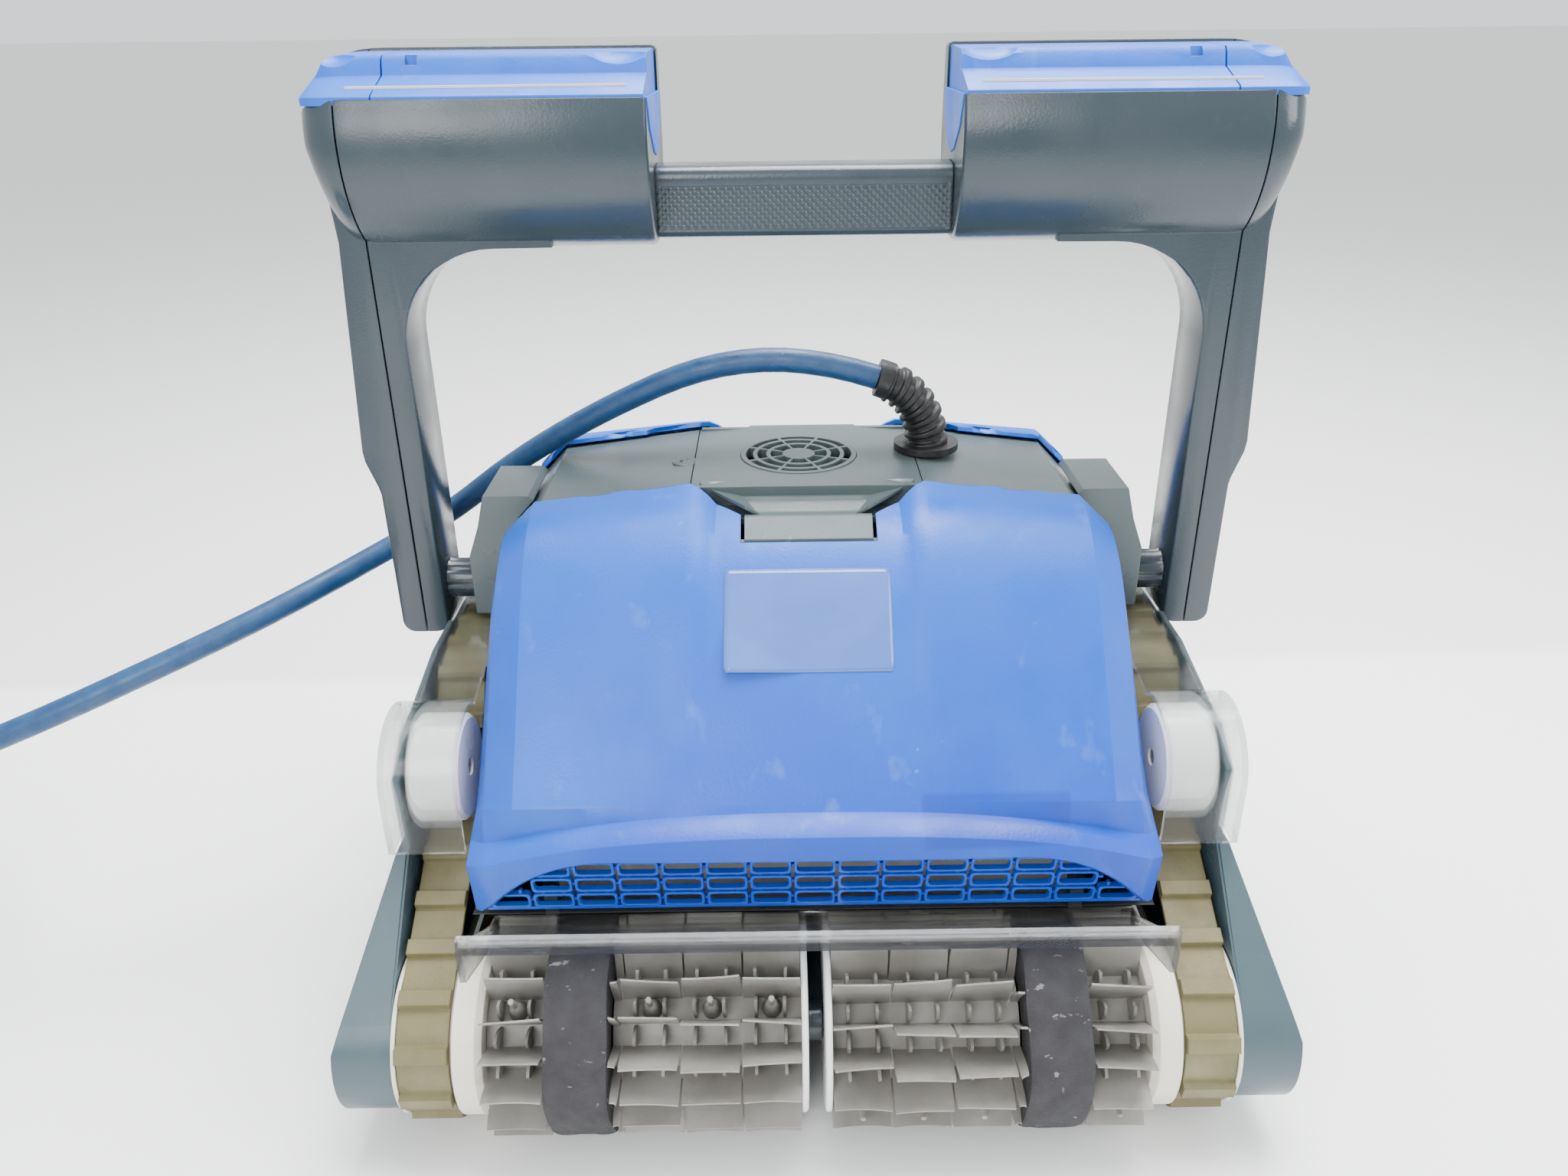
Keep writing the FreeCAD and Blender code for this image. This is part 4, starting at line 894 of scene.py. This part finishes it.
def fluted_boss():
    """The boss between the arm and the pivot block, with eight flutes."""
    rings = []
    for x, grow in ((167.2, 0.6), (168, 0), (171, 0), (181, 0), (184, 1.2)):
        ring = []
        for index in range(64):
            angle = 2 * math.pi * index / 64
            flute = 0.9 * max(0.0, math.cos(8 * angle)) ** 2 if x > 169 else 0
            radius = 10.1 + grow - flute
            ring.append((x, radius * math.cos(angle), PIVOT_Z + radius * math.sin(angle)))
        rings.append(ring)
    return Shape().loft(rings)


def make_handle():
    """Both arms with their shoulders, split along the seam, and what is mounted on them."""
    gap = Shape().block((SEAM_X - SEAM_HALF, -60, 100), (SEAM_X + SEAM_HALF, 60, 460))
    for label, sign in SIDES:
        name = label + "_handle_arm"
        whole = combined(make_shoulder(), make_arm(), "UNION", name + "_whole")
        split = mirrored(combined(whole, gap, "DIFFERENCE", name), sign)
        finish_piece(split, name, "handle", "handle_grey",
                     ["handle_frame"] if sign < 0 else [], smooth=32)
        piece(label + "_pivot_boss", fluted_boss().flipped(sign), "handle", "handle_grey", smooth=25)
        make_float_lid(label, sign)


def ellipsoid(centre, reach):
    """Rings of an ellipsoid for a loft. The poles are left out."""
    rings = []
    for step in range(1, 12):
        polar = math.pi * step / 12
        rings.append([(centre[0] + reach[0] * math.cos(polar),
                       centre[1] + reach[1] * math.sin(polar) * math.cos(2 * math.pi * index / 24),
                       centre[2] + reach[2] * math.sin(polar) * math.sin(2 * math.pi * index / 24))
                      for index in range(24)])
    return rings


def make_float_lid(label, sign):
    """The blue lid of a shoulder, in two parts: a sloping front, a raised strip, finger recesses."""
    foot = 419
    section = [(-32.8, foot), (-32.9, 422.2), (-32.0, 423.0), (-12.8, 429.6), (-10.6, 435.4),
               (-8.6, 437.3), (20.5, 438.5), (23.6, 438.0), (24.4, 424), (24, foot)]
    for part, low, high, tip in (("inner", 66.4, 177.6, 0), ("outer", 178.3, 208.6, 1)):
        rings = []
        for step in range(9):
            share = step / 8
            x = low + (high - low) * (math.sin(share * math.pi / 2) if tip else share)
            size = math.sqrt(max(0.0, 1 - share ** 4)) if tip else 1
            pinch = 0.72 + 0.28 * size if tip else 1
            lower = 0.55 + 0.45 * size if tip else 1
            strip = 6.5 * share ** 3 * tip
            ring = []
            for y, z in section:
                back = strip if z > 432 else 0
                ring.append((x - back, y * pinch, foot + (z - foot) * lower))
            rings.append(ring)
        if tip:
            scoop = Shape().loft(ellipsoid((198, -11.5, 441), (11, 10, 8)))
        else:
            scoop = Shape().loft(ellipsoid((78, -11.5, 441.5), (15, 11, 8.5)))
            scoop.block((163, -11.5, 433.5), (168, -8.2, 440))
        name = "%s_float_lid_%s" % (label, part)
        mesh = mirrored(combined(Shape().loft(rings), scoop, "DIFFERENCE", name), sign)
        finish_piece(mesh, name, "handle", "blue_lid",
                     [label + "_float_lid"] if not tip else [], smooth=28, soft=0.35)
    drop = [(-31.5, 421), (-24, 408), (-9, 397.5), (0, 395.5), (9, 397.5), (24, 408), (29, 421)]
    flap = Shape().prism(drop, 64.9, 66.6, lambda u, v, w: (sign * w, u, v))
    piece(label + "_float_lid_flap", flap, "handle", "blue_lid", soft=0.3)


def make_grip():
    """The bar between the shoulders. Its front is studded and its top is smooth."""
    half, count, front = 64.9, 340, 56
    low, high, pitch = 364.5, 384, 1.75
    outline = [(-13.6, high), (-13.9, 388), (-11.5, 391.8), (0, 392.2), (11.5, 391.8), (13.9, 388),
               (13.9, 366), (11, 361.6), (0, 361.0), (-11, 361.4), (-13.4, low)]
    section = smooth_line([(y, z, 0) for y, z in outline], 2)
    rings = []
    for index in range(count + 1):
        x = -half + 2 * half * index / count
        ring = [(x, point.x, point.y) for point in section]
        for step in range(1, front):
            z = low + (high - low) * step / front
            u, v = x / pitch * math.pi, z / pitch * math.pi
            stud = 0.3 * max(0.0, math.sin(u) * math.sin(v)) if 2 < step < front - 2 else 0
            inside = 0.5 if abs(x) < 63 else 0
            ring.append((x, -13.5 + inside - stud, z))
        rings.append(ring)
    piece("grip_bar", Shape().loft(rings), "handle", "handle_grey", replaces=["handle_grip"], smooth=60)


# Brushes --------------------------------------------------------------------------------------

FIN_ROWS = 16
FIN_SPANS = ((6.6, 31.2), (32.0, 56.8), (57.6, 82.4), (83.2, 86.6), (114.2, 139.8))
FIN_ROOT, FIN_TIP = 25.6, 45.7
JOINED_ROWS = {(-1, -1): 5, (-1, 1): 8, (1, -1): 3, (1, 1): 3}


def brush_fin(shape, rng, x0, x1, angle, middle):
    """One soft blade, slightly curled, from the core out to the tip."""
    along, out = 7, 5
    curl = rng.uniform(-2.4, 2.4)
    cup = rng.uniform(0.2, 1.5)
    tilt = rng.uniform(-1.0, 1.0)
    start = len(shape.verts)
    for side in (-1, 1):
        for j in range(out):
            v = j / (out - 1)
            for i in range(along):
                u = i / (along - 1)
                edge = cup * (4 * u * (1 - u)) * v * v
                radius = FIN_ROOT + (FIN_TIP - FIN_ROOT) * v - edge * 0.55
                shift = curl * v * v + tilt * v * (2 * u - 1) + side * (0.75 - 0.35 * v)
                turn = angle + shift / radius
                trim = 0.35 * ((i == 0) - (i == along - 1)) if j == out - 1 else 0
                shape.verts.append((x0 + (x1 - x0) * u + trim, middle[0] + radius * math.cos(turn),
                                    middle[1] + radius * math.sin(turn)))
    shape.faces.extend(slab_faces(out, along, start))


def brush_tab(shape, rng, x, angle, middle):
    """A small upright tab on the core, between two rows."""
    lean = rng.uniform(-0.5, 0.5)
    profile = [(-4.0, 25.4), (-3.8, 31), (-2.6, 35.6), (0, 37.6), (2.6, 35.6), (3.8, 31), (4.0, 25.4)]
    rings = []
    for offset in (-0.65, 0.65):
        ring = []
        for shift, radius in profile:
            turn = angle + shift / radius
            tip = (radius - 25) / 10
            ring.append((x + offset + lean * tip, middle[0] + radius * math.cos(turn),
                         middle[1] + radius * math.sin(turn)))
        rings.append(ring)
    shape.loft(rings)


def brush_pin(shape, x, angle, middle):
    """A cone with a thin peg, beside the row where the sheet of fins is joined."""
    outward = Vector((0, math.cos(angle), math.sin(angle)))
    side = Vector((0, -math.sin(angle), math.cos(angle)))
    rings = []
    for radius, wide in ((25, 4.6), (31, 3.2), (35, 2.2), (36, 1.3), (43.0, 1.2), (44.5, 1.3), (45, 0.9)):
        ring = []
        for index in range(14):
            around = 2 * math.pi * index / 14
            point = Vector((x, middle[0], middle[1])) + outward * radius
            point += Vector((1, 0, 0)) * (wide * math.cos(around)) + side * (wide * math.sin(around))
            ring.append(tuple(point))
        rings.append(ring)
    shape.loft(rings)


def make_brush(end, end_sign, side, side_sign, seed):
    """One brush half: two lengths of core with fins, tabs and pins, and the white disc inside."""
    rng = random.Random(seed)
    middle = (end_sign * WHEEL_Y, WHEEL_Z)
    shape = Shape()
    for low, high in ((6.2, 86.5), (114, 140.2)):
        shape.turned([(low, 18), (low, 26), (high, 26), (high, 18)], (0, *middle))
    for row in range(FIN_ROWS):
        angle = 2 * math.pi * (row + 0.3 * (side_sign > 0)) / FIN_ROWS
        between = angle + math.pi / FIN_ROWS
        for x0, x1 in FIN_SPANS:
            brush_fin(shape, rng, x0, x1, angle + rng.uniform(-0.02, 0.02), middle)
            if x1 - x0 > 20:
                for share in (0.27, 0.77):
                    brush_tab(shape, rng, x0 + (x1 - x0) * share, between, middle)
                if row == JOINED_ROWS[end_sign, side_sign]:
                    brush_pin(shape, x0 + (x1 - x0) * 0.5, between, middle)
    body = "%s_%s_wheel_set" % (end, side)
    name = "%s_%s_brush" % (end, side)
    piece(name + "_fins", shape.flipped(side_sign), body, "fin_grey", replaces=[name], smooth=40)
    rim = [(3.6, 5.4), (3.6, 37), (4.2, 38), (5.6, 38.3), (6.4, 38), (6.4, 18), (10, 17), (10, 5.4)]
    disc = Shape().turned(rim, (0, *middle), steps=96).flipped(side_sign)
    piece(name + "_disc", disc, body, "roller_white", soft=0.3)


def make_foam(end, end_sign, side, side_sign, seed):
    """A foam ring with a rubbed surface, worn edges and a crooked joint."""
    rng = random.Random(seed)
    steps, across = 150, 20
    inner_x, outer_x, core, surface = 87.2, 113.4, 26.1, 45.55
    joint = rng.uniform(0.15, 0.35) * 2 * math.pi + (math.pi if end_sign < 0 else 0)
    phases = [rng.uniform(0, 6.28) for _ in range(5)]

    def point(x, radius, angle):
        return (x, end_sign * WHEEL_Y + radius * math.cos(angle), WHEEL_Z + radius * math.sin(angle))

    rings = []
    for step in range(steps):
        angle = 2 * math.pi * step / steps
        ring = []
        for index in range(across):
            share = index / (across - 1)
            x = inner_x + 26.2 * share
            edge = 1.1 * (2 * share - 1) ** 8
            wobble = 0.25 * math.sin(3 * angle + phases[0])
            wobble += 0.18 * math.sin(11 * angle + 9 * share + phases[1])
            wobble += 0.12 * math.sin(23 * angle + 17 * share + phases[2])
            crook = joint + 0.10 * math.sin(9 * share + phases[3]) + 0.03 * math.sin(31 * share)
            away = abs((angle - crook + math.pi) % (2 * math.pi) - math.pi)
            gap = 2.6 * math.exp(-(away / 0.028) ** 2)
            sway = 0.5 * math.sin(5 * angle + phases[4]) * (1 if index in (0, across - 1) else 0.6)
            ring.append(point(x + sway, surface - edge + min(0.3, wobble) - gap, angle))
        ring += [point(outer_x, core, angle), point(inner_x, core, angle)]
        rings.append(ring)
    node = "%s_%s_foam_ring" % (end, side)
    piece(node + "_rough", Shape().hoop(rings).flipped(side_sign), "%s_%s_wheel_set" % (end, side),
          "foam_grey", replaces=[node], smooth=50)


# Assembly -------------------------------------------------------------------------------------

def make_floor():
    """A pale floor that turns from white to light grey behind the machine."""
    mesh = bpy.data.meshes.new("floor")
    far = 60
    mesh.from_pydata([(-far, -far, 0), (far, -far, 0), (far, far, 0), (-far, far, 0)], [], [(0, 1, 2, 3)])
    look = Look("floor_white", (0.96, 0.96, 0.955), 0.6)
    slant = look.calculate("ADD", look.coordinate("Y"),
                           look.calculate("MULTIPLY", look.coordinate("X"), -0.025))
    look.tint((0.80, 0.805, 0.79), look.spread(slant, 0.228, 0.244))
    mesh.materials.append(look.material)
    floor = add_object("floor", mesh)


def main():
    """Dresses the CAD frame and makes the camera, the light, the floor and every piece."""
    LOOKS.update(make_looks())
    dress_frame()
    make_camera()
    make_light()
    make_floor()
    cord = make_cord()
    plug = make_plug()
    make_strain_relief()
    front = make_lid("front_filter_lid_shell", -1, "front_blue")
    make_lid("rear_filter_lid_shell", 1, "blue_lid")
    make_label(front)
    make_tongue()
    make_cover_boss()
    make_handle()
    make_grip()
    seed = 11
    for end, end_sign in ENDS:
        for side, side_sign in SIDES:
            seed += 1
            make_brush(end, end_sign, side, side_sign, seed)
            make_foam(end, end_sign, side, side_sign, seed + 20)


main()
